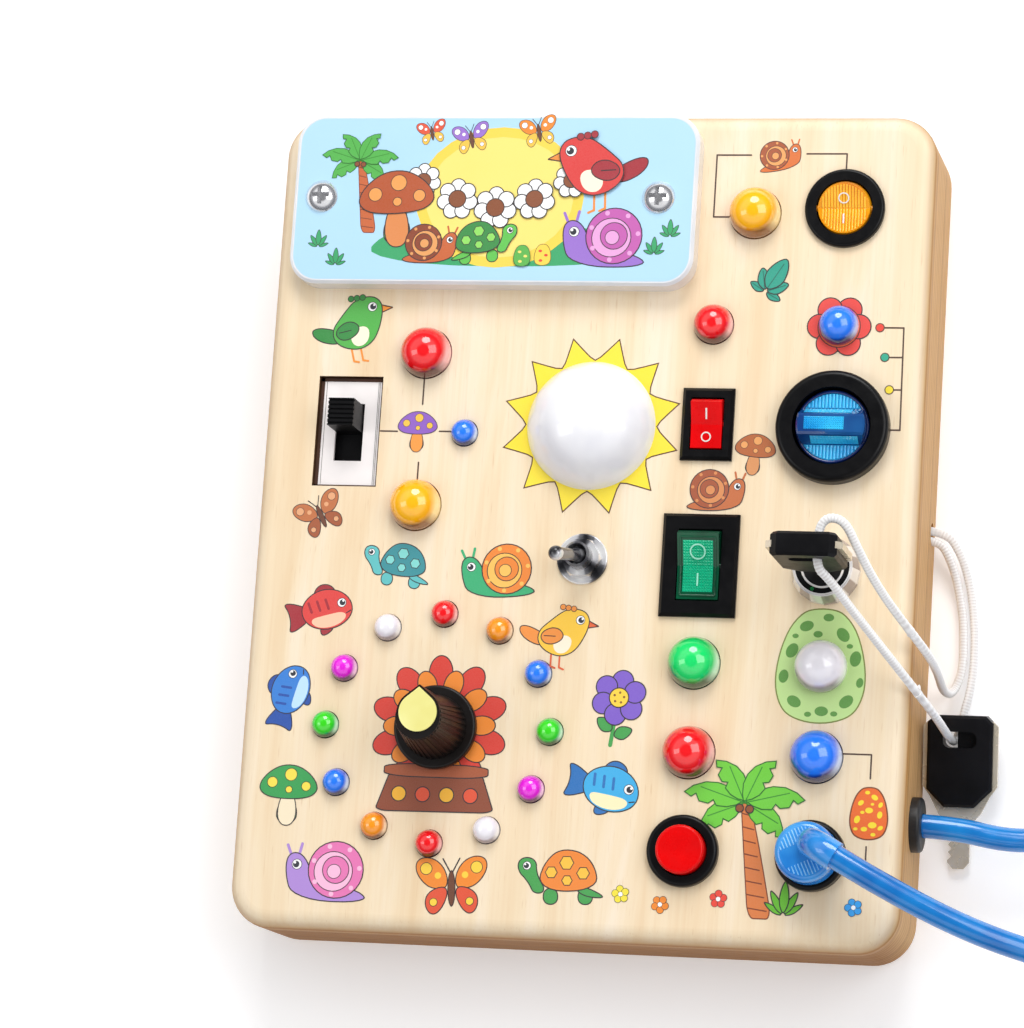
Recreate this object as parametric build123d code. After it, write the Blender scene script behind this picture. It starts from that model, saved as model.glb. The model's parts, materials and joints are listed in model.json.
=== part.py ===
"""Wooden busy board: a laminated wooden case with lights, switches, a key, a hose plug and a battery box.

Units are millimetres. The board lies on its back: the origin is the centre of the back face, +Z leaves the
front face, +X is the board's right and +Y its top. Every piece is one STEP file in parts/.
"""

from build123d import *
import math
import os

os.makedirs("parts", exist_ok=True)

# ---------------------------------------------------------------- driving dimensions: case
board_width = 193.0
board_height = 240.0
board_thickness = 38.0
front_thickness = 8.0
back_frame_height = 13.0
wall = 10.0
corner_radius = 12.0
front_rounding = 5.0
back_rounding = 1.5
cover_thickness = 4.0
cover_ledge = 4.0
cover_gap = 0.3
fit_gap = 0.2            # clearance of a piece in its hole, on each side
turn_gap = 0.35          # clearance round a piece that turns, tilts or slides
seat_gap = 0.3           # small gap under a piece that moves
screw_gap = 0.05         # clearance of a screw or hose in its hole, on each side

face_z = board_thickness
panel_back_z = face_z - front_thickness

# ---------------------------------------------------------------- driving dimensions: places on the face
left_margin = 25.6       # from the left edge to the slide switch
right_margin = 25.0      # from the right edge to the right column
top_margin = 28.1        # from the top edge to the top row
bottom_margin = 26.3     # from the bottom edge to the bottom row

left_column_x = left_margin - board_width / 2
right_column_x = board_width / 2 - right_margin
top_row_y = board_height / 2 - top_margin
bottom_row_y = bottom_margin - board_height / 2


def across(share):
    """A place between the left and the right column, as a share of the way."""
    return left_column_x + share * (right_column_x - left_column_x)


def upward(share):
    """A place between the bottom and the top row, as a share of the way."""
    return bottom_row_y + share * (top_row_y - bottom_row_y)


left_lights_x = across(0.155)
middle_x = across(0.507)
inner_column_x = across(0.746)
small_lights_y = upward(0.815)
upper_lights_y = upward(0.287)
lower_lights_y = upward(0.150)

slide_switch_at = (left_column_x, upward(0.638))
sun_at = (middle_x, upward(0.653))
toggle_at = (middle_x, upward(0.443))
rotary_at = (across(0.231), upward(0.1745))
amber_rocker_at = (right_column_x, top_row_y)
red_rocker_at = (inner_column_x, upward(0.657))
green_rocker_at = (inner_column_x, upward(0.437))
selector_at = (right_column_x, upward(0.654))
lock_at = (right_column_x, upward(0.434))
push_button_at = (inner_column_x, bottom_row_y)
socket_at = (right_column_x, bottom_row_y)

# ---------------------------------------------------------------- driving dimensions: lights
ring_radius = 33.0
ring_colours = ("red", "orange", "blue", "green", "magenta", "white")
small_light_diameter = 7.7
medium_light_diameter = 11.4
large_light_diameter = 14.8
light_stem_share = 0.12      # height of a light's stem above the face, as a share of its diameter
light_cap_share = 0.44       # height of its round cap
light_flange = 1.0
light_flange_margin = 1.0
lamp_board_thickness = 1.2
led_chip_size = 3.0
led_chip_height = 1.0
lamp_board_margin = 3.0

dome_lights = {
    "red": (
        (left_lights_x, upward(0.764), large_light_diameter),
        (inner_column_x, lower_lights_y, large_light_diameter),
        (inner_column_x, small_lights_y, medium_light_diameter),
    ),
    "yellow": (
        (left_lights_x, upward(0.522), large_light_diameter),
        (across(0.818), top_row_y - 1.5, large_light_diameter),
    ),
    "blue": (
        (right_column_x, lower_lights_y, large_light_diameter),
        (right_column_x, small_lights_y, medium_light_diameter),
        (across(0.246), upward(0.638), small_light_diameter),
    ),
    "green": ((inner_column_x, upper_lights_y, large_light_diameter),),
    "white": ((right_column_x, upper_lights_y, large_light_diameter),),
}

sun_diameter = 37.6
sun_height = 13.0
sun_wall = 1.4
sun_skirt_depth = 5.0
sun_chip_circle = 22.6
sun_chip_count = 6

# ---------------------------------------------------------------- driving dimensions: battery box
battery_cover_left = 6.0     # from the left edge of the board
battery_cover_right = 67.0   # from the right edge of the board
battery_cover_top = 2.0      # from the top edge of the board
battery_cover_height = 50.8
battery_cover_thickness = 7.0
battery_cover_corner = 8.5
battery_cover_edge = 0.8
cover_screw_inset = 9.8
cover_screw_shift = (-1.3, 0.6)
cover_screw_head = 9.8
cover_screw_head_height = 2.8
cover_screw_shank = 3.6
cover_screw_length = 12.0
cell_diameter = 10.2
cell_length = 43.3
cell_count = 3
cell_gap = 0.5
nub_diameter = 3.8
nub_height = 1.0
tray_wall = 1.6
tray_depth = 13.5
tray_flange = 1.2
tray_drop = 3.4              # tray below the middle of the cover
contact_thickness = 0.5
contact_spring_length = 5.0
contact_spring_wire = 0.8
contact_spring_diameter = 6.4
tray_width = cell_length + nub_height + contact_spring_length + 2 * contact_thickness + 2 * tray_wall
tray_length = cell_count * cell_diameter + (cell_count + 1) * cell_gap + 2 * tray_wall
battery_cover_width = board_width - battery_cover_left - battery_cover_right
battery_cover_at = (
    (battery_cover_left - battery_cover_right) / 2,
    board_height / 2 - battery_cover_top - battery_cover_height / 2,
)
cover_screw_spacing = battery_cover_width - 2 * cover_screw_inset
tray_at = (battery_cover_at[0], battery_cover_at[1] - tray_drop)

# ---------------------------------------------------------------- driving dimensions: switches
slide_frame_width = 18.6
slide_frame_length = 32.0
slide_frame_sheet = 1.0
slide_recess_depth = 1.6
slide_body_depth = 11.0
slide_slot_width = 8.4
slide_slot_length = 17.0
slide_handle_width = 7.6
slide_handle_length = 8.0
slide_handle_height = 9.0
slide_travel = 3.9       # each way from the middle
slide_rest = 3.9         # where the handle stands at rest, towards the top
slide_rib_count = 6

rocker_flange = 2.0
rocker_body_depth = 20.0
rocker_tilt = 12.0
red_rocker_size = (15.0, 21.0)
red_rocker_opening = (9.6, 15.2)
red_rocker_hole = (12.6, 19.0)
green_rocker_size = (22.0, 29.6)
green_rocker_opening = (12.6, 20.6)
green_rocker_hole = (19.2, 27.0)
amber_ring_diameter = 23.0
amber_opening = 16.2
amber_hole_diameter = 20.0
rocker_edge = 0.9

selector_ring_diameter = 32.3
selector_opening = 22.4
selector_ring_height = 5.0
selector_hole_diameter = 25.4
selector_cup_depth = 6.0
selector_knob_diameter = 21.2
selector_knob_height = 2.6
selector_bar_width = 5.6
selector_bar_foot = 10.6
selector_bar_height = 4.6
selector_body_depth = 22.0
selector_shaft_diameter = 6.0
selector_turn = 45.0

toggle_bushing_diameter = 7.4
toggle_bushing_bore = 6.0
toggle_bushing_height = 9.0
toggle_washer_diameter = 14.7
toggle_washer_thickness = 1.0
toggle_nut_width = 10.4
toggle_nut_height = 2.6
toggle_body_size = (13.0, 8.0, 10.0)
toggle_ball = 4.6
toggle_throat = 3.4
toggle_lever_root = 3.4
toggle_lever_tip = 4.3
toggle_lever_length = 14.6
toggle_pivot_height = 6.5  # above the face
toggle_tilt = 15.0
toggle_heading = 214.0     # compass of the tilt on the face, from +X

rotary_body_diameter = 26.0
rotary_body_depth = 11.0
rotary_bushing_diameter = 9.0
rotary_shaft_diameter = 6.0
knob_diameter = 24.0
knob_skirt_height = 2.2
knob_height = 22.5
knob_cone_diameter = 18.4
knob_top_diameter = 12.8
knob_bore_depth = 12.0
knob_lift = 1.2            # under the skirt
pointer_cap_radius = 5.5
pointer_cap_tip = 7.2
pointer_cap_shift = 1.2    # towards the point
pointer_rim = 0.7
pointer_cap_thickness = 0.9

lock_flange_diameter = 19.2
lock_face_diameter = 17.0
lock_height = 7.0
lock_body_diameter = 16.0
lock_body_depth = 20.0
lock_barrel_diameter = 11.0
lock_barrel_length = 24.0
lock_nut_width = 20.0
lock_nut_thickness = 2.5
key_turn = 90.0
key_travel = 26.0
key_blade_width = 6.2
key_blade_thickness = 1.9
key_blade_length = 12.5
key_shoulder_width = 17.0
key_shoulder_length = 10.0
key_notch_depth = 1.2
key_notch_count = 4
key_bow_width = 18.6
key_bow_length = 26.0
key_bow_thickness = 6.75
key_bow_chamfer = 2.0
key_bow_foot = 5.0
key_plate_lip = 1.35
key_slot_width = 9.6
key_slot_height = 4.6
key_slot_from_top = 4.6
key_gap = 9.0            # bow above the lock face

push_ring_diameter = 20.3
push_ring_height = 3.0
push_opening = 14.6
push_cap_diameter = 13.8
push_cap_height = 6.4
push_travel = 2.8
push_hole_diameter = 16.4
push_body_depth = 20.0
push_spring_diameter = 8.0
push_spring_wire = 0.8
push_spring_turns = 5

socket_ring_diameter = 19.8
socket_ring_height = 4.0
socket_bore = 15.6
socket_hole_diameter = 18.0
socket_depth = 16.0
socket_cup_depth = 5.0
plug_diameter = 15.0
plug_head_diameter = 17.0    # above the socket's ring
plug_height = 13.0
plug_ridge_count = 5
plug_ridge_depth = 0.5
plug_pin_diameter = 5.0
plug_pin_length = 9.0
plug_travel = 14.0
plug_neck_at = (1.9, 2.4)    # from the plug's axis
plug_neck_diameter = 8.4
plug_neck_length = 9.0
hose_diameter = 6.8
hose_exit_height = 19.5      # above the face
hose_heading = -29.0         # compass of the hose where it leaves the plug, from +X
hose_first_run = 18.0
hose_exit_run = 7.0          # straight part outside the grommet

grommet_diameter = 15.6
grommet_bore = hose_diameter
grommet_flange = 3.0
grommet_hole_diameter = 11.0
grommet_at = (-81.5, 19.0)   # Y and Z on the right wall
lanyard_hole_diameter = 6.0
lanyard_at = (4.0, 7.6)      # Y and Z on the right wall
cord_diameter = 2.6
knot_diameter = 6.8
cord_spacing = 2.7           # between the two cord ends in the hole
spare_key_at = (107.6, -91.4)    # tip of the blade, just above the floor
spare_key_tilt = 10.0
spare_key_tip_height = 1.2

# Routes of the cords, chosen point by point. The first and last points lie in the pieces that hold the cord.
hose_route = (
    (120.6, -114.8, 54.0),
    (143.0, -120.5, 46.0),
    (165.0, -128.0, 33.5),
    (185.0, -138.0, 20.0),
    (208.0, -135.0, 10.0),
    (225.6, -121.9, 5.0),
    (234.4, -101.4, 3.7),
    (231.3, -79.2, 3.5),
    (216.0, -63.2, 3.5),
    (194.3, -57.9, 3.6),
    (173.6, -63.2, 4.2),
    (157.0, -73.8, 7.0),
    (141.6, -81.8, 11.5),
    (125.0, -85.2, 16.0),
)
lower_strand_route = (
    (104.8, -1.2, 5.0),
    (107.4, -9.6, 2.0),
    (109.0, -19.4, 1.5),
    (109.6, -30.0, 1.5),
    (109.0, -39.6, 1.5),
    (107.0, -48.0, 1.5),
    (105.4, -55.9, 1.6),
    (104.4, -55.0, 13.0),
    (102.6, -51.6, 26.0),
)
key_loop_front = (
    (94.6, -41.8, 48.4),
    (88.6, -34.6, 55.6),
    (82.6, -27.4, 63.4),
    (77.6, -21.0, 70.4),
)
key_loop_back = (
    (77.2, -4.4, 73.6),
    (81.8, -5.6, 72.8),
    (84.8, -11.8, 69.8),
    (88.4, -19.0, 63.4),
    (93.2, -26.2, 55.4),
)
upper_strand_route = (
    (101.4, -36.0, 36.0),
    (102.2, -39.0, 22.0),
    (102.0, -42.0, 8.6),
    (103.8, -41.6, 1.5),
    (106.2, -35.4, 1.5),
    (106.3, -27.0, 1.5),
    (105.6, -18.0, 1.5),
    (103.8, -9.4, 2.4),
    (101.8, -2.8, 5.4),
)


# ---------------------------------------------------------------- helpers
def cylinder(diameter, bottom, top, place=(0.0, 0.0)):
    """An upright cylinder between two heights."""
    return Pos(place[0], place[1], (bottom + top) / 2) * Cylinder(diameter / 2, top - bottom)


def cone(bottom_diameter, top_diameter, bottom, top, place=(0.0, 0.0)):
    """An upright cone frustum between two heights."""
    return Pos(place[0], place[1], (bottom + top) / 2) * Cone(
        bottom_diameter / 2, top_diameter / 2, top - bottom
    )


def ring(outer, inner, bottom, top, place=(0.0, 0.0)):
    """An upright tube between two heights."""
    return cylinder(outer, bottom, top, place) - cylinder(inner, bottom, top, place)


def plate(width, length, bottom, top, place=(0.0, 0.0), corner=0.0):
    """A flat block along X and Y between two heights, with rounded upright edges if asked."""
    outline = RectangleRounded(width, length, corner) if corner else Rectangle(width, length)
    return extrude(Pos(place[0], place[1], bottom) * outline, top - bottom)


def polygon_prism(across_flats, sides, bottom, top, place=(0.0, 0.0)):
    """An upright prism on a regular polygon, such as a nut."""
    outline = RegularPolygon(across_flats / 2, sides, major_radius=False)
    return extrude(Pos(place[0], place[1], bottom) * outline, top - bottom)


def cap_of_sphere(diameter, height, place, base):
    """The solid cap of a sphere that stands on a flat circle."""
    radius = cap_radius(diameter, height)
    ball = Pos(place[0], place[1], base + height - radius) * Sphere(radius)
    return ball & cylinder(diameter, base, base + height, place)


def cap_radius(diameter, height):
    """The radius of the sphere of a cap with this base circle and height."""
    return ((diameter / 2) ** 2 + height**2) / (2 * height)


def cylinder_along_x(diameter, start, end, y, z):
    """A level cylinder along X."""
    return Pos((start + end) / 2, y, z) * Rot(0, 90, 0) * Cylinder(diameter / 2, end - start)


def cord_tube(name, points, diameter):
    """A round tube along straight runs joined by the largest tangent arcs that fit; prints its arc radii."""
    points = [Vector(*point) for point in points]
    runs = [b - a for a, b in zip(points, points[1:])]
    radii = []
    for before, after in zip(runs, runs[1:]):
        turn = math.radians(before.get_angle(after))
        shorter = min(before.length, after.length)
        radii.append(0.45 * shorter / math.tan(turn / 2))
    path = FilletPolyline(*points, radius=radii)
    profile = Plane(origin=path @ 0, z_dir=path % 0) * Circle(diameter / 2)
    tube = sweep(profile, path=path)
    expected = math.pi * diameter**2 / 4 * path.length
    print(f"{name}: length {path.length:.1f}, volume ratio {tube.volume / expected:.4f}")
    print(f"{name}: radii in diameters", [round(radius / diameter, 1) for radius in radii])
    return tube


def write(name, *solids):
    """Write one named piece, or a group of separate like pieces, to its file."""
    shape = solids[0] if len(solids) == 1 else Compound(children=list(solids))
    export_step(shape, f"parts/{name}.step")


def spread(count, pitch):
    """Positions of a centred row of copies."""
    return [(index - (count - 1) / 2) * pitch for index in range(count)]


# ---------------------------------------------------------------- lights
def ring_light_places(colour):
    """The places of the small lights of one colour round the rotary knob, clockwise from the top."""
    count = 2 * len(ring_colours)
    places = []
    for index in (ring_colours.index(colour), ring_colours.index(colour) + len(ring_colours)):
        angle = math.radians(90 - index * 360 / count)
        x = rotary_at[0] + ring_radius * math.cos(angle)
        y = rotary_at[1] + ring_radius * math.sin(angle)
        places.append((x, y, small_light_diameter))
    return places


def light_groups():
    """The lights of every colour: place and diameter."""
    groups = {colour: ring_light_places(colour) for colour in ring_colours}
    for colour, lights in dome_lights.items():
        groups[colour] = groups.get(colour, []) + list(lights)
    return groups


light_flange_bottom = panel_back_z - light_flange
lamp_board_top = light_flange_bottom - led_chip_height
lamp_board_bottom = lamp_board_top - lamp_board_thickness


def light(x, y, diameter):
    """One clear light: a round cap on a stem through the panel, with a flange behind it."""
    stem_top = face_z + light_stem_share * diameter
    body = cap_of_sphere(diameter, light_cap_share * diameter, (x, y), stem_top)
    body += cylinder(diameter, light_flange_bottom, stem_top, (x, y))
    body += cylinder(diameter + 2 * light_flange_margin, light_flange_bottom, panel_back_z, (x, y))
    return body


def led_chip(x, y):
    """The light source under one light."""
    return plate(led_chip_size, led_chip_size, lamp_board_top, light_flange_bottom, (x, y))


def lamp_boards():
    """Small circuit boards: one behind each larger light, one for the ring and one for the dome."""
    ring_width = small_light_diameter + 2 * lamp_board_margin
    ring_board = ring(
        2 * ring_radius + ring_width, 2 * ring_radius - ring_width,
        lamp_board_bottom, lamp_board_top, rotary_at,
    )
    for colour in ring_colours:
        for x, y, diameter in ring_light_places(colour):
            ring_board += led_chip(x, y)
    boards = [ring_board, sun_board()]
    for group in dome_lights.values():
        for x, y, diameter in group:
            side = diameter + lamp_board_margin
            board = plate(side, side, lamp_board_bottom, lamp_board_top, (x, y))
            boards.append(board + led_chip(x, y))
    return boards


def sun_dome():
    """The large hollow lamp dome with a skirt through the panel and a flange behind it."""
    radius = cap_radius(sun_diameter, sun_height)
    inner_diameter = sun_diameter - 2 * sun_wall
    skirt_bottom = panel_back_z - light_flange
    dome = cap_of_sphere(sun_diameter, sun_height, sun_at, face_z)
    dome += cylinder(sun_diameter, skirt_bottom, face_z, sun_at)
    dome += cylinder(sun_diameter + 2 * light_flange_margin, skirt_bottom, panel_back_z, sun_at)
    hollow = Pos(sun_at[0], sun_at[1], face_z + sun_height - radius) * Sphere(radius - sun_wall)
    hollow &= cylinder(inner_diameter, face_z, face_z + sun_height, sun_at)
    hollow += cylinder(inner_diameter, skirt_bottom, face_z, sun_at)
    return dome - hollow


def sun_board():
    """The round board inside the lamp dome, with its ring of light sources."""
    board_diameter = sun_diameter + 2 * light_flange_margin
    board_top = panel_back_z - light_flange
    board = cylinder(board_diameter, board_top - lamp_board_thickness, board_top, sun_at)
    for place in PolarLocations(sun_chip_circle / 2, sun_chip_count):
        chip = plate(led_chip_size, led_chip_size, board_top, board_top + led_chip_height)
        board += Pos(sun_at[0], sun_at[1], 0) * place * chip
    return board


# ---------------------------------------------------------------- case
def front_holes():
    """Everything that is cut through the front panel."""
    below = panel_back_z - 1
    above = face_z + 1
    holes = []
    for lights in light_groups().values():
        for x, y, diameter in lights:
            holes.append(cylinder(diameter + 2 * fit_gap, below, above, (x, y)))
    holes.append(cylinder(sun_diameter + 2 * fit_gap, below, above, sun_at))
    frame_width = slide_frame_width + 2 * cover_gap
    frame_length = slide_frame_length + 2 * cover_gap
    holes.append(plate(frame_width, frame_length, below, above, slide_switch_at))
    for place, size in ((red_rocker_at, red_rocker_hole), (green_rocker_at, green_rocker_hole)):
        holes.append(plate(size[0], size[1], below, above, place))
    for place, diameter in (
        (amber_rocker_at, amber_hole_diameter),
        (selector_at, selector_hole_diameter),
        (toggle_at, toggle_bushing_diameter + 2 * fit_gap),
        (rotary_at, rotary_bushing_diameter + 2 * fit_gap),
        (lock_at, lock_body_diameter + 2 * fit_gap),
        (push_button_at, push_hole_diameter),
        (socket_at, socket_hole_diameter),
    ):
        holes.append(cylinder(diameter, below, above, place))
    holes.append(plate(tray_width + 2 * cover_gap, tray_length + 2 * cover_gap, below, above, tray_at))
    for place in cover_screw_places():
        holes.append(cylinder(cover_screw_shank + 2 * screw_gap, below, above, place))
    return holes


def front_panel():
    """The front board: rounded edge, light cream face, and a hole for each part that it carries."""
    panel = plate(board_width, board_height, panel_back_z, face_z, corner=corner_radius)
    panel = fillet(panel.edges().group_by(Axis.Z)[-1], front_rounding)
    for hole in front_holes():
        panel -= hole
    return panel


def frame_layer(bottom, top):
    """One wooden layer of the side walls."""
    outside = plate(board_width, board_height, bottom, top, corner=corner_radius)
    inside = plate(
        board_width - 2 * wall, board_height - 2 * wall, bottom, top, corner=corner_radius - wall / 2
    )
    return outside - inside


def middle_frame():
    """The wall layer under the front panel, with the hole of the side grommet."""
    hole = cylinder_along_x(
        grommet_hole_diameter + 2 * screw_gap, board_width / 2 - wall - 1, board_width / 2 + 1, *grommet_at
    )
    return frame_layer(back_frame_height, panel_back_z) - hole


def back_frame():
    """The wall layer at the back, with the ledge of the back cover and the hole of the lanyard."""
    layer = frame_layer(0, back_frame_height)
    layer = fillet(layer.faces().sort_by(Axis.Z)[0].outer_wire().edges(), back_rounding)
    layer -= plate(
        board_width - 2 * wall + 2 * cover_ledge, board_height - 2 * wall + 2 * cover_ledge,
        0, cover_thickness, corner=corner_radius - wall / 2 + cover_ledge / 2,
    )
    layer -= cylinder_along_x(
        lanyard_hole_diameter, board_width / 2 - wall - 1, board_width / 2 + 1, *lanyard_at
    )
    return layer


def back_cover():
    """The flush board that closes the back."""
    return plate(
        board_width - 2 * wall + 2 * cover_ledge - 2 * cover_gap,
        board_height - 2 * wall + 2 * cover_ledge - 2 * cover_gap,
        0, cover_thickness, corner=corner_radius - wall / 2 + cover_ledge / 2 - cover_gap,
    )


# ---------------------------------------------------------------- battery box
tray_bottom = face_z - tray_depth
cell_z = tray_bottom + tray_wall + fit_gap + cell_diameter / 2
cell_rows = spread(cell_count, cell_diameter + cell_gap)
tray_inside = tray_width - 2 * tray_wall


def battery_cover():
    """The thick plate over the battery box, with its rounded corners and two screw holes."""
    top = face_z + battery_cover_thickness
    cover = plate(
        battery_cover_width, battery_cover_height, face_z, top, battery_cover_at, battery_cover_corner
    )
    cover = chamfer(cover.edges().group_by(Axis.Z)[-1], battery_cover_edge)
    for x, y in cover_screw_places():
        cover -= cylinder(cover_screw_shank + 2 * screw_gap, face_z, top, (x, y))
    return cover


def cover_screw_places():
    """The two screws of the battery cover."""
    middle = battery_cover_at[0] + cover_screw_shift[0]
    y = battery_cover_at[1] + cover_screw_shift[1]
    return [(middle - cover_screw_spacing / 2, y), (middle + cover_screw_spacing / 2, y)]


def cross_screw(x, y):
    """A pan head screw with a cross recess."""
    seat = face_z + battery_cover_thickness
    head_top = seat + cover_screw_head_height
    head = cap_of_sphere(cover_screw_head, cover_screw_head_height, (x, y), seat)
    shank = cylinder(cover_screw_shank, seat - cover_screw_length, seat, (x, y))
    recess_length = cover_screw_head * 0.56
    recess_width = cover_screw_head * 0.13
    recess_depth = cover_screw_head_height * 0.5
    screw = head + shank
    for width, length in ((recess_length, recess_width), (recess_width, recess_length)):
        screw -= plate(width, length, head_top - recess_depth, head_top, (x, y))
    return screw


def battery_tray():
    """The open tray that hangs in the front panel under the battery cover."""
    tray = plate(tray_width, tray_length, tray_bottom, face_z, tray_at)
    flange_bottom = panel_back_z - tray_flange
    tray += plate(
        tray_width + 4 * tray_wall, tray_length + 2 * tray_wall, flange_bottom, panel_back_z, tray_at
    )
    pocket_bottom = tray_bottom + tray_wall
    tray -= plate(tray_inside, tray_length - 2 * tray_wall, pocket_bottom, face_z, tray_at)
    return tray


def cell_frame(row):
    """Where one cell lies: its centre line along X, every second cell turned round."""
    turn = 180 if row % 2 else 0
    return Pos(tray_at[0], tray_at[1] + cell_rows[row], cell_z) * Rot(0, 0, turn)


def cell(row):
    """One cell with its positive nub."""
    nub_end = tray_inside / 2 - contact_thickness
    can_end = nub_end - nub_height
    can = Pos(can_end - cell_length / 2, 0, 0) * Rot(0, 90, 0) * Cylinder(cell_diameter / 2, cell_length)
    nub = Pos(nub_end - nub_height / 2, 0, 0) * Rot(0, 90, 0) * Cylinder(nub_diameter / 2, nub_height)
    return cell_frame(row) * (can + nub)


def cell_contacts(row):
    """The flat contact at one end of a cell and the plate with its spring at the other."""
    size = cell_diameter - 1
    offset = tray_inside / 2 - contact_thickness / 2
    flat = Pos(offset, 0, 0) * Box(contact_thickness, size, size)
    back = Pos(-offset, 0, 0) * Box(contact_thickness, size, size)
    pitch = contact_spring_length / 3
    radius = (contact_spring_diameter - contact_spring_wire) / 2
    coil_length = contact_spring_length - contact_spring_wire
    path = Helix(pitch, coil_length, radius)
    coil = sweep(Plane(origin=path @ 0, z_dir=path % 0) * Circle(contact_spring_wire / 2), path=path)
    start = -tray_inside / 2 + contact_thickness + contact_spring_wire / 2
    coil = Pos(start, 0, 0) * Rot(0, 90, 0) * coil
    frame = cell_frame(row)
    return [frame * flat, frame * back, frame * coil]


# ---------------------------------------------------------------- slide switch
slide_sheet_top = face_z - slide_recess_depth
slide_sheet_bottom = slide_sheet_top - slide_frame_sheet
slide_block_top = slide_sheet_bottom
slide_handle_base = 1.4


def slide_switch_frame():
    """The folded metal frame: a plate with a slot, and a flange down each long side."""
    flange_bottom = slide_sheet_bottom - slide_body_depth
    frame = plate(slide_frame_width, slide_frame_length, flange_bottom, slide_sheet_top, slide_switch_at)
    frame -= plate(
        slide_frame_width - 2 * slide_frame_sheet, slide_frame_length,
        flange_bottom, slide_sheet_bottom, slide_switch_at,
    )
    return frame - plate(
        slide_slot_width, slide_slot_length, slide_sheet_bottom, slide_sheet_top, slide_switch_at
    )


def slide_switch_body():
    """The insulating block that the metal frame holds, with the channel of the handle."""
    width = slide_frame_width - 2 * slide_frame_sheet
    block = plate(
        width, slide_frame_length, slide_block_top - slide_body_depth, slide_block_top, slide_switch_at
    )
    channel_depth = slide_handle_base + 2 * seat_gap
    return block - plate(
        slide_slot_width + 2 * slide_frame_sheet, slide_slot_length + 2 * slide_frame_sheet,
        slide_block_top - channel_depth, slide_block_top, slide_switch_at,
    )


def slide_switch_handle():
    """The ribbed handle, which stands on a low foot that fills the slot."""
    x, y = slide_switch_at
    foot_bottom = slide_block_top - slide_handle_base - seat_gap
    foot_top = slide_block_top - seat_gap
    place = (x, y + slide_rest)
    handle = plate(slide_slot_width + slide_frame_sheet, slide_handle_length, foot_bottom, foot_top, place)
    top = face_z + slide_handle_height
    handle += plate(slide_handle_width, slide_handle_length, foot_top, top, place)
    pitch = slide_handle_length / slide_rib_count
    for offset in spread(slide_rib_count, pitch):
        groove = plate(slide_handle_width, pitch * 0.4, top - 0.7, top, (x, place[1] + offset))
        handle -= groove
    return handle


# ---------------------------------------------------------------- rocker switches
rocker_pivot_z = face_z + 0.4
rocker_pin_diameter = 1.8
rocker_pin_length = 0.8
rocker_centre_height = 2.0
rocker_slope = 9.0
rocker_root = 4.0
rocker_pocket_depth = 7.5
pin_gap = 0.06


def rocker_top(width, length):
    """The space above the two sloping halves of a rocker, round its pivot."""
    rise = length * math.tan(math.radians(rocker_slope))
    tall = 4 * length
    section = Polyline(
        (0, rocker_centre_height), (length, rocker_centre_height + rise), (length, tall),
        (-length, tall), (-length, rocker_centre_height + rise), (0, rocker_centre_height),
    )
    face = Plane.YZ * make_face(section)
    return extrude(face, width, both=True)


def rocker(place, core, width, length):
    """A rocker cut from a core round its pivot, with its pins, tilted with its upper end raised."""
    body = core - rocker_top(width, length)
    body -= Pos(0, 0, -rocker_root - length) * Box(2 * width, 2 * length, 2 * length)
    pin_span = width + 2 * turn_gap + 2 * rocker_pin_length
    body += Rot(0, 90, 0) * Cylinder(rocker_pin_diameter / 2, pin_span)
    return Pos(place[0], place[1], rocker_pivot_z) * Rot(rocker_tilt, 0, 0) * body


def pin_sockets(place, width):
    """The two holes in which a rocker's pins turn."""
    span = width + 2 * turn_gap + 2 * rocker_pin_length + 2 * pin_gap
    hole = Rot(0, 90, 0) * Cylinder(rocker_pin_diameter / 2 + pin_gap, span)
    return Pos(place[0], place[1], rocker_pivot_z) * hole


def square_rocker_housing(place, size, opening, hole):
    """The flanged housing of a square rocker switch, open at the front."""
    top = face_z + rocker_flange
    flange = plate(size[0], size[1], face_z, top, place)
    flange = chamfer(flange.edges().group_by(Axis.Z)[-1], rocker_edge)
    body = plate(hole[0] - 2 * fit_gap, hole[1] - 2 * fit_gap, face_z - rocker_body_depth, face_z, place)
    pocket = plate(opening[0], opening[1], face_z - rocker_pocket_depth, top, place)
    return flange + body - pocket - pin_sockets(place, opening[0] - 2 * turn_gap)


def square_rocker(place, opening):
    """The rocker of a square switch."""
    width = opening[0] - 2 * turn_gap
    core = Rot(0, 90, 0) * Cylinder(opening[1] / 2 - turn_gap, width)
    return rocker(place, core, width, opening[1])


def amber_rocker_housing():
    """The flanged housing of the round rocker switch."""
    top = face_z + rocker_flange
    flange = cylinder(amber_ring_diameter, face_z, top, amber_rocker_at)
    flange = fillet(flange.edges().group_by(Axis.Z)[-1], rocker_edge)
    body = cylinder(amber_hole_diameter - 2 * fit_gap, face_z - rocker_body_depth, face_z, amber_rocker_at)
    pocket = cylinder(amber_opening, face_z - rocker_pocket_depth, top, amber_rocker_at)
    return flange + body - pocket - pin_sockets(amber_rocker_at, amber_opening - 2 * turn_gap)


def amber_rocker():
    """The round rocker."""
    core = Sphere(amber_opening / 2 - turn_gap)
    return rocker(amber_rocker_at, core, amber_opening - 2 * turn_gap, amber_opening)


# ---------------------------------------------------------------- selector switch
selector_cup_floor = face_z - selector_cup_depth
selector_knob_bottom = selector_cup_floor + seat_gap
selector_knob_top = face_z + selector_knob_height


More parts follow.
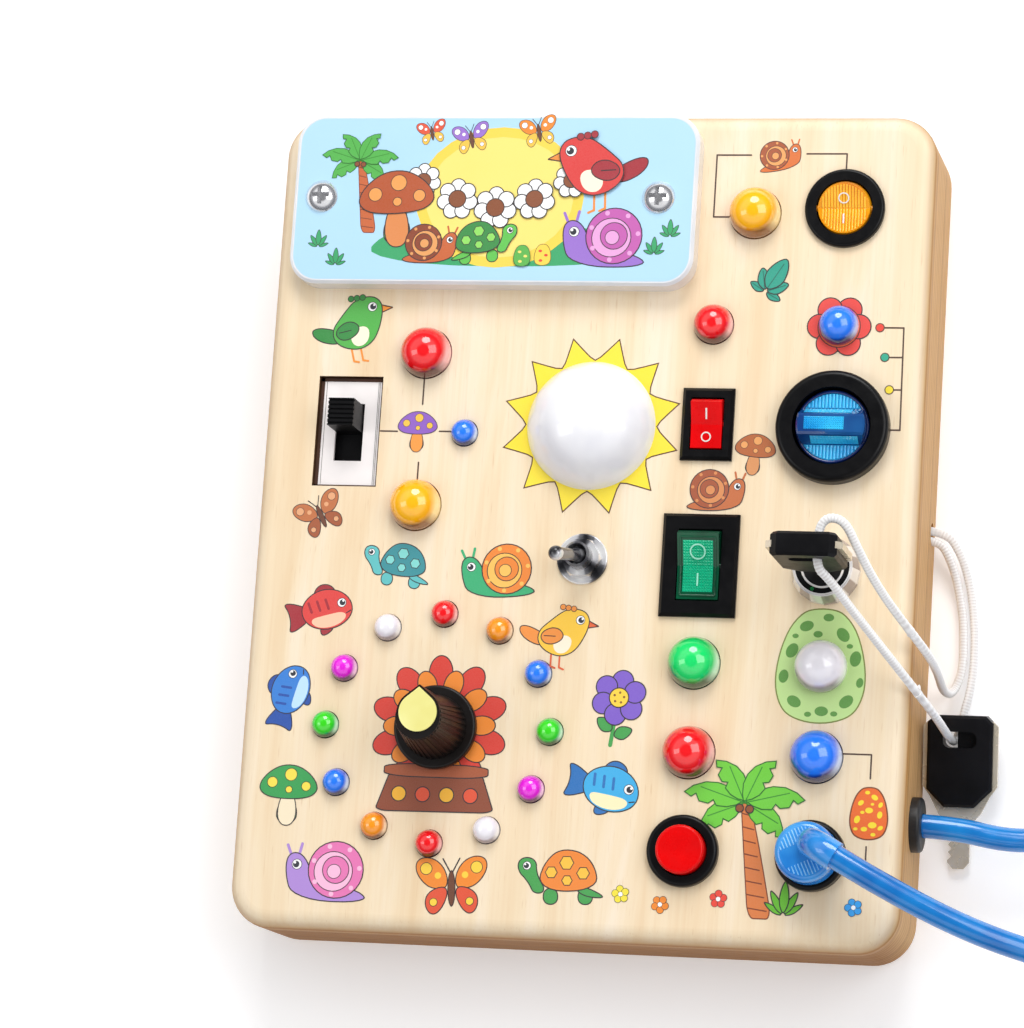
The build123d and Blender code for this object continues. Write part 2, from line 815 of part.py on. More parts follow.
def selector_housing():
    """The black ring and the cup in which the selector knob turns."""
    top = face_z + selector_ring_height
    housing = cylinder(selector_ring_diameter, face_z, top, selector_at)
    housing = fillet(housing.edges().group_by(Axis.Z)[-1], 1.6)
    body_diameter = selector_hole_diameter - 2 * fit_gap
    housing += cylinder(body_diameter, face_z - selector_body_depth, face_z, selector_at)
    housing -= cylinder(selector_opening, selector_cup_floor, top, selector_at)
    shaft_bore = selector_shaft_diameter + 2 * pin_gap
    return housing - cylinder(shaft_bore, face_z - selector_body_depth, selector_cup_floor, selector_at)


def selector_knob():
    """The blue knob: a low drum with a raised bar across it, whose long sides slope."""
    drum = cylinder(selector_knob_diameter, selector_knob_bottom, selector_knob_top, selector_at)
    drum = fillet(drum.edges().group_by(Axis.Z)[-1], 0.8)
    bar_top = selector_knob_top + selector_bar_height
    half_foot = selector_bar_foot / 2
    half_top = selector_bar_width / 2
    section = Polyline(
        (-half_foot, selector_knob_top), (half_foot, selector_knob_top),
        (half_top, bar_top), (-half_top, bar_top), close=True,
    )
    prism = extrude(Plane.YZ * make_face(section), selector_knob_diameter, both=True)
    bar = cylinder(selector_knob_diameter - 1.6, selector_knob_top, bar_top, selector_at)
    bar &= Pos(selector_at[0], selector_at[1], 0) * prism
    return drum + chamfer(bar.edges().group_by(Axis.Z)[-1], 0.5)


def selector_shaft():
    """The shaft under the knob, which turns in the housing."""
    bottom = face_z - selector_body_depth
    return cylinder(selector_shaft_diameter, bottom, selector_knob_bottom, selector_at)


# ---------------------------------------------------------------- toggle switch
toggle_pivot_z = face_z + toggle_pivot_height
toggle_mouth_z = face_z + toggle_bushing_height
toggle_nut_bottom = face_z + toggle_washer_thickness


def toggle_switch_body():
    """The switch block behind the panel and the threaded bushing through it."""
    width, length, depth = toggle_body_size
    block = plate(width, length, panel_back_z - depth, panel_back_z, toggle_at)
    bushing = cylinder(toggle_bushing_diameter, panel_back_z, toggle_mouth_z, toggle_at)
    bushing = chamfer(bushing.edges().group_by(Axis.Z)[-1], 0.5)
    bushing -= cylinder(toggle_bushing_bore, toggle_pivot_z - 2.0, toggle_mouth_z, toggle_at)
    bushing -= cylinder(toggle_throat, face_z, toggle_pivot_z - 2.0, toggle_at)
    return block + bushing


def toggle_washer():
    """The flat washer under the toggle's nut."""
    bore = toggle_bushing_diameter + 2 * screw_gap
    washer = ring(toggle_washer_diameter, bore, face_z, toggle_nut_bottom, toggle_at)
    return fillet(washer.edges().group_by(Axis.Z)[-1].sort_by(SortBy.LENGTH)[-1:], 0.4)


def toggle_nut():
    """The hexagon nut of the toggle."""
    top = toggle_nut_bottom + toggle_nut_height
    nut = polygon_prism(toggle_nut_width, 6, toggle_nut_bottom, top, toggle_at)
    nut &= cone(toggle_nut_width * 1.22, toggle_nut_width * 1.04, toggle_nut_bottom, top, toggle_at)
    return nut - cylinder(toggle_bushing_diameter + 2 * screw_gap, toggle_nut_bottom, top, toggle_at)


def toggle_lever():
    """The lever: a ball on the pivot, a slim cone and a ball at the tip, tilted to one side."""
    length = toggle_lever_length
    lever = Sphere(toggle_ball / 2)
    lever += Pos(0, 0, length / 2) * Cone(toggle_lever_root / 2, toggle_lever_tip / 2 - 0.3, length)
    lever += Pos(0, 0, length) * Sphere(toggle_lever_tip / 2)
    heading = Rot(0, 0, toggle_heading)
    tilt = Rot(0, toggle_tilt, 0)
    return Pos(toggle_at[0], toggle_at[1], toggle_pivot_z) * heading * tilt * lever


# ---------------------------------------------------------------- rotary switch and its knob
knob_bottom = face_z + knob_lift
knob_top = face_z + knob_height
bushing_top = face_z + knob_lift - seat_gap


def teardrop(radius, tip):
    """A round outline with a point towards +Y, where its two straight sides meet."""
    touch = math.degrees(math.acos(radius / tip))
    left = Vector(radius, 0).rotate(Axis.Z, 90 + touch)
    right = Vector(radius, 0).rotate(Axis.Z, 90 - touch)
    peak = Vector(0, tip)
    round_side = ThreePointArc(left, (0, -radius), right)
    return make_face([round_side, Line(right, peak), Line(peak, left)])


def rotary_switch_body():
    """The twelve-way switch behind the panel, with its bushing."""
    body = cylinder(rotary_body_diameter, panel_back_z - rotary_body_depth, panel_back_z, rotary_at)
    body += cylinder(rotary_bushing_diameter, panel_back_z, bushing_top, rotary_at)
    bore = rotary_shaft_diameter + 2 * pin_gap
    return body - cylinder(bore, panel_back_z - rotary_body_depth + 2, bushing_top, rotary_at)


def rotary_shaft():
    """The shaft that the knob is pressed on."""
    bottom = panel_back_z - rotary_body_depth + 2 + seat_gap
    return cylinder(rotary_shaft_diameter, bottom, knob_bottom + knob_bore_depth, rotary_at)


def pointer_outline(height, margin=0.0):
    """The outline of the pointer cap at a height."""
    place = Pos(rotary_at[0], rotary_at[1] + pointer_cap_shift, height)
    return place * teardrop(pointer_cap_radius + margin, pointer_cap_tip + margin)


def rotary_knob():
    """The dark knob: a flat skirt, a cone and a ridge that runs up to the pointer."""
    skirt_top = knob_bottom + knob_skirt_height
    knob = cylinder(knob_diameter, knob_bottom, skirt_top, rotary_at)
    knob = fillet(knob.edges().group_by(Axis.Z)[-1], 0.8)
    knob += cone(knob_cone_diameter, knob_top_diameter, skirt_top, knob_top, rotary_at)
    knob += extrude(pointer_outline(skirt_top, pointer_rim), knob_top - skirt_top)
    knob -= cylinder(rotary_shaft_diameter, knob_bottom, knob_bottom + knob_bore_depth, rotary_at)
    return knob - extrude(pointer_outline(knob_top - pointer_cap_thickness / 2), pointer_cap_thickness)


def knob_cap():
    """The cream pointer cap, let into the top of the knob."""
    return extrude(pointer_outline(knob_top - pointer_cap_thickness / 2), pointer_cap_thickness)


# ---------------------------------------------------------------- key switch and keys
lock_face_z = face_z + lock_height
barrel_gap = 0.08
keyway_gap = 0.15
key_total = key_blade_length + key_shoulder_length + key_bow_length - key_bow_foot
key_bow_bottom = key_total - key_bow_length
key_bow_rest_z = lock_face_z + key_gap
key_slot_centre = key_total - key_slot_from_top - key_slot_height / 2
key_tip_z = key_bow_rest_z - key_bow_bottom


def key_lock_housing():
    """The chromed housing: a faceted bezel on the face, a body behind it and the barrel's bore."""
    bezel = polygon_prism(lock_flange_diameter, 16, face_z, lock_face_z, lock_at)
    bezel &= cone(lock_flange_diameter * 1.06, lock_face_diameter, face_z, lock_face_z, lock_at)
    bottom = face_z - lock_body_depth
    body = cylinder(lock_body_diameter, bottom, face_z, lock_at)
    bore_bottom = lock_face_z - lock_barrel_length - seat_gap
    bore = cylinder(lock_barrel_diameter + 2 * barrel_gap, bore_bottom, lock_face_z, lock_at)
    return bezel + body - bore


def key_lock_nut():
    """The nut behind the panel that clamps the lock."""
    bottom = panel_back_z - lock_nut_thickness
    nut = polygon_prism(lock_nut_width, 6, bottom, panel_back_z, lock_at)
    return nut - cylinder(lock_body_diameter + 2 * screw_gap, bottom, panel_back_z, lock_at)


def key_lock_barrel():
    """The barrel that turns with the key, with its keyway."""
    bottom = lock_face_z - lock_barrel_length
    barrel = cylinder(lock_barrel_diameter, bottom, lock_face_z, lock_at)
    return barrel - plate(
        key_blade_width + 2 * keyway_gap, key_blade_thickness + 2 * keyway_gap,
        key_tip_z - 2 * seat_gap, lock_face_z, lock_at,
    )


def key_blade():
    """The flat nickel key: notched blade, shoulder and the plate inside the bow; its tip is the origin."""
    half_blade = key_blade_width / 2
    half_shoulder = key_shoulder_width / 2
    half_plate = key_bow_width / 2 + key_plate_lip
    shoulder_top = key_blade_length + key_shoulder_length
    plate_top = key_total - 1.5
    right = [
        (0.0, 0.0), (half_blade - 1.6, 0.0), (half_blade, 1.8), (half_blade, key_blade_length),
        (half_shoulder * 0.7, key_blade_length + key_shoulder_length * 0.3),
        (half_shoulder, shoulder_top - key_shoulder_length * 0.2), (half_plate, shoulder_top + 1.0),
        (half_plate, plate_top - 1.5), (half_plate - 1.5, plate_top), (0.0, plate_top),
    ]
    left = [(-x, z) for x, z in reversed(right[1:-1])]
    outline = Plane.XZ * make_face(Polyline(*right, *left, close=True))
    key = extrude(outline, key_blade_thickness / 2, both=True)
    pitch = (key_blade_length - 4.0) / key_notch_count
    for index in range(key_notch_count):
        height = 2.6 + index * pitch + pitch / 2
        notch = Pos(-half_blade, 0, height) * Rot(0, 45, 0)
        side = key_notch_depth * math.sqrt(2)
        key -= notch * Box(side, 2 * key_blade_thickness, side)
    return key - cord_slot(1.0)


def cord_slot(margin=0.0):
    """The slot of the lanyard through the bow."""
    slot = Box(key_slot_width + 2 * margin, 2 * key_bow_thickness, key_slot_height + 2 * margin)
    slot = fillet(slot.edges().filter_by(Axis.Y), key_slot_height / 2 - 0.3)
    return Pos(0, 0, key_slot_centre) * slot


def key_bow():
    """The black moulded bow round the key's plate."""
    half = key_bow_width / 2
    top = key_total
    bottom = key_bow_bottom
    outline = Polyline(
        (half - key_bow_chamfer, top), (half, top - key_bow_chamfer), (half, bottom + key_bow_foot),
        (half - key_bow_foot, bottom), (key_bow_foot - half, bottom), (-half, bottom + key_bow_foot),
        (-half, top - key_bow_chamfer), (key_bow_chamfer - half, top), close=True,
    )
    bow = extrude(Plane.XZ * make_face(outline), key_bow_thickness / 2, both=True)
    bow = chamfer(bow.faces().sort_by(Axis.Y)[0].edges(), 0.8)
    bow = chamfer(bow.faces().sort_by(Axis.Y)[-1].edges(), 0.8)
    return bow - cord_slot() - key_blade()


def key_in_lock():
    """Where the first key stands in the lock."""
    return Pos(lock_at[0], lock_at[1], key_tip_z)


def spare_key_place():
    """Where the spare key lies, its blade along -Y with the tip on the floor."""
    lay_flat = Rot(spare_key_tilt - 90, 0, 0)
    return Pos(spare_key_at[0], spare_key_at[1], spare_key_tip_height) * lay_flat


# ---------------------------------------------------------------- push button
push_cap_bottom = face_z - 4.0
push_cavity_bottom = face_z - push_body_depth + 2.0


def push_button_housing():
    """The ring and body of the push button."""
    top = face_z + push_ring_height
    housing = cylinder(push_ring_diameter, face_z, top, push_button_at)
    housing = fillet(housing.edges().group_by(Axis.Z)[-1], 1.2)
    body_diameter = push_hole_diameter - 2 * fit_gap
    housing += cylinder(body_diameter, face_z - push_body_depth, face_z, push_button_at)
    housing -= cylinder(push_opening, push_cap_bottom - push_travel - seat_gap, top, push_button_at)
    cavity = push_spring_diameter + 2 * turn_gap + 1.0
    return housing - cylinder(cavity, push_cavity_bottom, push_cap_bottom, push_button_at)


def push_button_cap():
    """The red cap."""
    cap = cylinder(push_cap_diameter, push_cap_bottom, face_z + push_cap_height, push_button_at)
    return fillet(cap.edges().group_by(Axis.Z)[-1], 0.9)


def push_button_spring():
    """The coil spring under the cap."""
    length = push_cap_bottom - push_cavity_bottom - push_spring_wire
    path = Helix(length / push_spring_turns, length, (push_spring_diameter - push_spring_wire) / 2)
    profile = Plane(origin=path @ 0, z_dir=path % 0) * Circle(push_spring_wire / 2)
    coil = sweep(profile, path=path)
    return Pos(push_button_at[0], push_button_at[1], push_cavity_bottom + push_spring_wire / 2) * coil


# ---------------------------------------------------------------- hose, plug and socket
socket_floor = face_z - socket_cup_depth
plug_bottom = socket_floor + seat_gap
plug_top = face_z + plug_height
hose_start_z = face_z + hose_exit_height
hose_turn = Rot(0, 0, hose_heading)


def plug_socket():
    """The black socket: a ring on the face and a cup behind it with the bore of the plug's pin."""
    top = face_z + socket_ring_height
    socket = cylinder(socket_ring_diameter, face_z, top, socket_at)
    socket = fillet(socket.edges().group_by(Axis.Z)[-1], 1.2)
    socket += cylinder(socket_hole_diameter - 2 * fit_gap, face_z - socket_depth, face_z, socket_at)
    socket -= cylinder(socket_bore, socket_floor, top, socket_at)
    pin_bore = plug_pin_diameter + 2 * pin_gap
    return socket - cylinder(pin_bore, socket_floor - plug_pin_length, socket_floor, socket_at)


def ahead_of_plug(distance):
    """A point on the level centre line of the plug's neck, at a distance from its upright part."""
    heading = math.radians(hose_heading)
    x = socket_at[0] + plug_neck_at[0] + distance * math.cos(heading)
    y = socket_at[1] + plug_neck_at[1] + distance * math.sin(heading)
    return (x, y, hose_start_z)


def hose_plug():
    """The clear blue plug: a ridged drum with an elbow that turns the hose level."""
    head_bottom = face_z + socket_ring_height + seat_gap
    head = cylinder(plug_head_diameter, head_bottom, plug_top, socket_at)
    head = fillet(head.edges().group_by(Axis.Z)[-1], 2.0)
    ridge_pitch = (plug_top - 2.0 - head_bottom) / plug_ridge_count
    groove_inside = plug_head_diameter - 2 * plug_ridge_depth
    for index in range(plug_ridge_count):
        bottom = head_bottom + index * ridge_pitch
        head -= ring(plug_head_diameter, groove_inside, bottom, bottom + ridge_pitch / 2, socket_at)
    drum = head + cylinder(plug_diameter, plug_bottom, head_bottom, socket_at)
    inner_end = plug_neck_length
    path = FilletPolyline(
        (0, 0, plug_top - 2.0), (0, 0, hose_start_z), (inner_end, 0, hose_start_z), radius=inner_end - 1.0
    )
    profile = Plane(origin=path @ 0, z_dir=path % 0) * Circle(plug_neck_diameter / 2)
    place = Pos(socket_at[0] + plug_neck_at[0], socket_at[1] + plug_neck_at[1], 0)
    return drum + place * hose_turn * sweep(profile, path=path)


def plug_pin():
    """The metal pin under the plug."""
    bottom = plug_bottom - plug_pin_length + seat_gap
    pin = cylinder(plug_pin_diameter, bottom, plug_bottom, socket_at)
    return chamfer(pin.edges().group_by(Axis.Z)[0], 0.8)


def side_grommet():
    """The black grommet where the hose goes through the right wall."""
    wall_x = board_width / 2
    inner_x = wall_x - wall
    flange = cylinder_along_x(grommet_diameter, wall_x, wall_x + grommet_flange, *grommet_at)
    flange = fillet(flange.faces().sort_by(Axis.X)[-1].edges(), 1.0)
    sleeve = cylinder_along_x(grommet_hole_diameter, inner_x, wall_x, *grommet_at)
    bore = cylinder_along_x(grommet_bore + 2 * screw_gap, inner_x, wall_x + grommet_flange, *grommet_at)
    return flange + sleeve - bore


def hose():
    """The blue hose from the plug to the side grommet."""
    inner_end = (board_width / 2 - wall, *grommet_at)
    outer_end = (board_width / 2 + grommet_flange + hose_exit_run, *grommet_at)
    start = ahead_of_plug(plug_neck_length)
    bend = ahead_of_plug(plug_neck_length + hose_first_run)
    return cord_tube("hose", (start, bend, *hose_route, outer_end, inner_end), hose_diameter)


# ---------------------------------------------------------------- lanyard
strand_x = board_width / 2 - wall
knot_x = strand_x - knot_diameter * 0.28
lower_exit_x = board_width / 2 + 3.5
upper_exit_x = board_width / 2 + 1.7
upper_end_y = lanyard_at[0] - cord_spacing / 2
lower_end_y = lanyard_at[0] + cord_spacing / 2
slot_z = key_tip_z + key_slot_centre
slot_reach = key_bow_thickness / 2 + 2.0
cord_in_slot_x = lock_at[0] + 3.0


def halfway(a, b):
    """The middle of two points."""
    return tuple((p + q) / 2 for p, q in zip(a, b))


def lanyard_strands():
    """The three stretches of the lanyard, which meet end to end, each as a tube."""
    lower_hole = ((strand_x, lower_end_y, lanyard_at[1]), (lower_exit_x, lower_end_y, lanyard_at[1]))
    upper_hole = ((upper_exit_x, upper_end_y, lanyard_at[1]), (strand_x, upper_end_y, lanyard_at[1]))
    slot_front = (cord_in_slot_x, lock_at[1] - slot_reach, slot_z)
    slot_back = (cord_in_slot_x, lock_at[1] + slot_reach, slot_z)
    loop_start = halfway(lower_strand_route[-1], key_loop_front[0])
    loop_end = halfway(key_loop_back[-1], upper_strand_route[0])
    strands = {
        "lanyard_lower_strand": (*lower_hole, *lower_strand_route, loop_start),
        "lanyard_key_loop": (
            loop_start, *key_loop_front, slot_front, slot_back, *key_loop_back, loop_end
        ),
        "lanyard_upper_strand": (loop_end, *upper_strand_route, *upper_hole),
    }
    return {name: cord_tube(name, points, cord_diameter) for name, points in strands.items()}


def lanyard_knot():
    """The knot inside the case, which both cord ends meet and which keeps them from slipping out."""
    knot = Pos(knot_x, *lanyard_at) * Sphere(knot_diameter / 2)
    return knot & cylinder_along_x(2 * knot_diameter, knot_x - knot_diameter, strand_x, *lanyard_at)


# ---------------------------------------------------------------- electronics
control_board_at = (0.0, upward(0.747))
control_board_size = (52.0, 34.0)
control_board_thickness = 1.6
standoff_height = 3.0
standoff_diameter = 5.0
control_chip_size = (12.0, 9.0, 2.4)
wire_diameter = 1.4
wire_inset = 10.0            # where a wire ends, from the middle of the tray or the board
rotary_terminal_radius = 9.0


def control_board():
    """The board that drives the lights, on four standoffs of the back cover."""
    bottom = cover_thickness + standoff_height
    top = bottom + control_board_thickness
    width, length = control_board_size
    board = plate(width, length, bottom, top, control_board_at)
    for x in (-width / 2 + standoff_diameter, width / 2 - standoff_diameter):
        for y in (-length / 2 + standoff_diameter, length / 2 - standoff_diameter):
            place = (control_board_at[0] + x, control_board_at[1] + y)
            board += cylinder(standoff_diameter, cover_thickness, bottom, place)
    chip_width, chip_length, chip_height = control_chip_size
    return board + plate(chip_width, chip_length, top, top + chip_height, control_board_at)


def internal_wires():
    """The wires from the control board to the battery tray and the switches."""
    level = cover_thickness + standoff_height + control_board_thickness + wire_diameter / 2
    wires = []
    targets = (
        (tray_at[0] + wire_inset, tray_at[1] - wire_inset, tray_bottom),
        (rotary_at[0] + rotary_terminal_radius, rotary_at[1], panel_back_z - rotary_body_depth),
        (push_button_at[0], push_button_at[1], face_z - push_body_depth),
        (lock_at[0], lock_at[1], face_z - lock_body_depth),
        (red_rocker_at[0], red_rocker_at[1], face_z - rocker_body_depth),
    )
    starts = spread(len(targets), control_board_size[0] / (len(targets) + 1))
    for start_x, target in zip(starts, targets):
        start = (control_board_at[0] + start_x, control_board_at[1] - wire_inset, level)
        corner = (target[0], target[1], level)
        path = FilletPolyline(start, corner, target, radius=3.0)
        profile = Plane(origin=path @ 0, z_dir=path % 0) * Circle(wire_diameter / 2)
        wires.append(sweep(profile, path=path))
    return wires


# ---------------------------------------------------------------- all pieces
def build():
    """Write every piece."""
    write("front_panel", front_panel())
    write("middle_frame", middle_frame())
    write("back_frame", back_frame())
    write("back_cover", back_cover())

    write("battery_cover", battery_cover())
    write("battery_cover_screws", *[cross_screw(x, y) for x, y in cover_screw_places()])
    write("battery_tray", battery_tray())
    write("batteries", *[cell(row) for row in range(cell_count)])
    contacts = [piece for row in range(cell_count) for piece in cell_contacts(row)]
    write("battery_contacts", *contacts)

    for colour, lights in light_groups().items():
        write(f"lights_{colour}", *[light(*place) for place in lights])
    write("sun_dome", sun_dome())
    write("lamp_boards", *lamp_boards())

    write("slide_switch_frame", slide_switch_frame())
    write("slide_switch_body", slide_switch_body())
    write("slide_switch_handle", slide_switch_handle())

    write("amber_rocker_housing", amber_rocker_housing())
    write("amber_rocker", amber_rocker())
    write("red_rocker_housing", square_rocker_housing(
        red_rocker_at, red_rocker_size, red_rocker_opening, red_rocker_hole))
    write("red_rocker", square_rocker(red_rocker_at, red_rocker_opening))
    write("green_rocker_housing", square_rocker_housing(
        green_rocker_at, green_rocker_size, green_rocker_opening, green_rocker_hole))
    write("green_rocker", square_rocker(green_rocker_at, green_rocker_opening))

    write("selector_housing", selector_housing())
    write("selector_knob", selector_knob())
    write("selector_shaft", selector_shaft())

    write("toggle_switch_body", toggle_switch_body())
    write("toggle_washer", toggle_washer())
    write("toggle_nut", toggle_nut())
    write("toggle_lever", toggle_lever())

    write("rotary_switch_body", rotary_switch_body())
    write("rotary_shaft", rotary_shaft())
    write("rotary_knob", rotary_knob())
    write("knob_cap", knob_cap())

    write("key_lock_housing", key_lock_housing())
    write("key_lock_nut", key_lock_nut())
    write("key_lock_barrel", key_lock_barrel())
    write("key_blade", key_in_lock() * key_blade())
    write("key_bow", key_in_lock() * key_bow())
    write("spare_key_blade", spare_key_place() * key_blade())
    write("spare_key_bow", spare_key_place() * key_bow())

    write("push_button_housing", push_button_housing())
    write("push_button_cap", push_button_cap())
    write("push_button_spring", push_button_spring())

    write("plug_socket", plug_socket())
    write("hose_plug", hose_plug())
    write("plug_pin", plug_pin())
    write("hose", hose())
    write("side_grommet", side_grommet())

    write("lanyard_knot", lanyard_knot())
    for name, strand in lanyard_strands().items():
        write(name, strand)

    write("control_board", control_board())
    write("internal_wires", *internal_wires())


build()
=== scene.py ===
"""Looks of a wooden busy board: wood, prints, clear lamp caps, switches, a key on a cord and a hose."""

import json
import math

import bmesh
import bpy
from mathutils import Matrix, Vector


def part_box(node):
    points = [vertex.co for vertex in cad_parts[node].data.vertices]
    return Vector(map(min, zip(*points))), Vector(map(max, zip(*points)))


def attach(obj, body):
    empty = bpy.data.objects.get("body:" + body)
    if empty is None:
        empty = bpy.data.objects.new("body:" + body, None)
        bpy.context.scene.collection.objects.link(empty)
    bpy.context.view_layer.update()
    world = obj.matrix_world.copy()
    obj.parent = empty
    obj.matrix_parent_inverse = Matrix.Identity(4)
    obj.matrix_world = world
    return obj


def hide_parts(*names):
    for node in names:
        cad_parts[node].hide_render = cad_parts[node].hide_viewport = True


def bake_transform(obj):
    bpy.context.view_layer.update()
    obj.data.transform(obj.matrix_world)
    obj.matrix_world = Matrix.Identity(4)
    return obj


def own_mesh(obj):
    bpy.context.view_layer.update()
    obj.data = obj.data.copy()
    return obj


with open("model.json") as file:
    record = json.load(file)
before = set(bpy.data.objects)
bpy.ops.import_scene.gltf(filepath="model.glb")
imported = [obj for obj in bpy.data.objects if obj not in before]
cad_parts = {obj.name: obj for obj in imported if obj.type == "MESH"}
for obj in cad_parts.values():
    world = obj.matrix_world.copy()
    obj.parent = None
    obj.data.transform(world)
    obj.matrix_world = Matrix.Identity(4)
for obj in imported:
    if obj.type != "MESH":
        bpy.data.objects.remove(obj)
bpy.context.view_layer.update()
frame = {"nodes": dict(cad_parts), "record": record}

MM = 0.001
FACE = 38             # height of the wooden face, in mm
PLATE_TOP = 45        # height of the battery plate, in mm
HOLES_WITHIN = (85.5, 108)    # half the width and height of the part of the face that has holes, in mm
PLUG_TOP = 51         # height of the plug's head, in mm
CAMERA_AT = (266.955, -225.232, 1207.883)
CAMERA_AIM = (-20.266, 1.241, 38)
CAMERA_ROLL = -0.0666
LENS_IN_PIXELS = 4279.6
FRAME_WIDTH = 1024


def middle(node):
    """The middle of a CAD node's box, in mm."""
    return tuple((a + b) / 2 / MM for a, b in zip(*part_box(node)))


def top(node):
    """The highest point of a CAD node, in mm."""
    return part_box(node)[1][2] / MM


def spot(x, y, z=0, turn=0, axis="Z"):
    """A place in mm, with a turn in degrees."""
    return Matrix.Translation((x, y, z)) @ Matrix.Rotation(math.radians(turn), 4, axis)


# ---------------------------------------------------------------- camera, light and floor
FLOOR_GAP = 0.0004    # the floor lies this far under the board, in metres
SKY = (
    (0, "F2F2F2"), (0.12, "3A3A3E"), (0.4, "8A8A90"), (0.56, "F8F8F8"), (0.84, "F8F8F8"), (0.92, "5C5C60"),
)
LIGHTS = (
    ("key_light", (0.09, 0.97, 0.85), (0.7, 0.7), 8.2, "DISK"),
    ("window_light", (0.81, 0.23, 0.99), (0.8, 0.8), 5, "RECTANGLE"),
    ("left_light", (-0.84, -0.14, 0.98), (0.4, 0.6), 1.5, "RECTANGLE"),
)


def add_object(name, data):
    """A new object in the scene."""
    thing = bpy.data.objects.new(name, data)
    bpy.context.collection.objects.link(thing)
    return thing


def add_camera():
    """The camera looks down on the board from its lower right."""
    data = bpy.data.cameras.new("camera")
    data.sensor_fit = "HORIZONTAL"
    data.sensor_width = 36
    data.lens = LENS_IN_PIXELS / FRAME_WIDTH * 36
    data.clip_end = 20
    camera = add_object("camera", data)
    forward = (Vector(CAMERA_AIM) - Vector(CAMERA_AT)).normalized()
    right = forward.cross(Vector((0, 1, 0))).normalized()
    level = Matrix((right, right.cross(forward), -forward)).transposed()
    turned = level @ Matrix.Rotation(-CAMERA_ROLL, 3, "Z")
    camera.matrix_world = Matrix.Translation(Vector(CAMERA_AT) * MM) @ turned.to_4x4()
    bpy.context.scene.camera = camera


def add_world():
    """A pale room with dim bands below and overhead, so that bare metal has something dark to show."""
    world = bpy.data.worlds.new("studio")
    world.use_nodes = True
    kit = Tools(world.node_tree, world.node_tree.nodes["Background"])
    direction = kit.add("ShaderNodeTexCoord").outputs["Generated"]
    kit.feed(Color=kit.ramp(kit.split(direction)["Z"], SKY))
    kit.set(Strength=0.98)
    bpy.context.scene.world = world


def add_studio():
    """A pale floor, a round key light beyond the board's top, and softer ones at its right and left."""
    mesh = bpy.data.meshes.new("floor")
    shape = bmesh.new()
    bmesh.ops.create_grid(shape, x_segments=1, y_segments=1, size=3)
    shape.to_mesh(mesh)
    shape.free()
    floor = add_object("floor", mesh)
    floor.location.z = -FLOOR_GAP
    kit = new_material("floor_paint")
    kit.set(Base_Color=(0.93, 0.93, 0.935, 1), Roughness=0.6)
    kit.set(Emission_Color=(1, 0.985, 0.98, 1), Emission_Strength=0.23)
    mesh.materials.append(materials["floor_paint"])
    for name, place, size, power, form in LIGHTS:
        data = bpy.data.lights.new(name, "AREA")
        data.shape = form
        data.size, data.size_y = size
        data.energy = power
        light = add_object(name, data)
        light.location = place
        light.rotation_euler = (-Vector(place)).to_track_quat("-Z", "Y").to_euler()
    add_world()
    view = bpy.context.scene.view_settings
    view.view_transform = "Standard"
    view.look = "None"


# ---------------------------------------------------------------- node tools
def ink(code):
    """A screen colour such as F2D3A0 as the linear colour of a shader."""
    parts = [int(code[start:start + 2], 16) / 255 for start in (0, 2, 4)]
    linear = [part / 12.92 if part <= 0.04045 else ((part + 0.055) / 1.055) ** 2.4 for part in parts]
    return (*linear, 1)


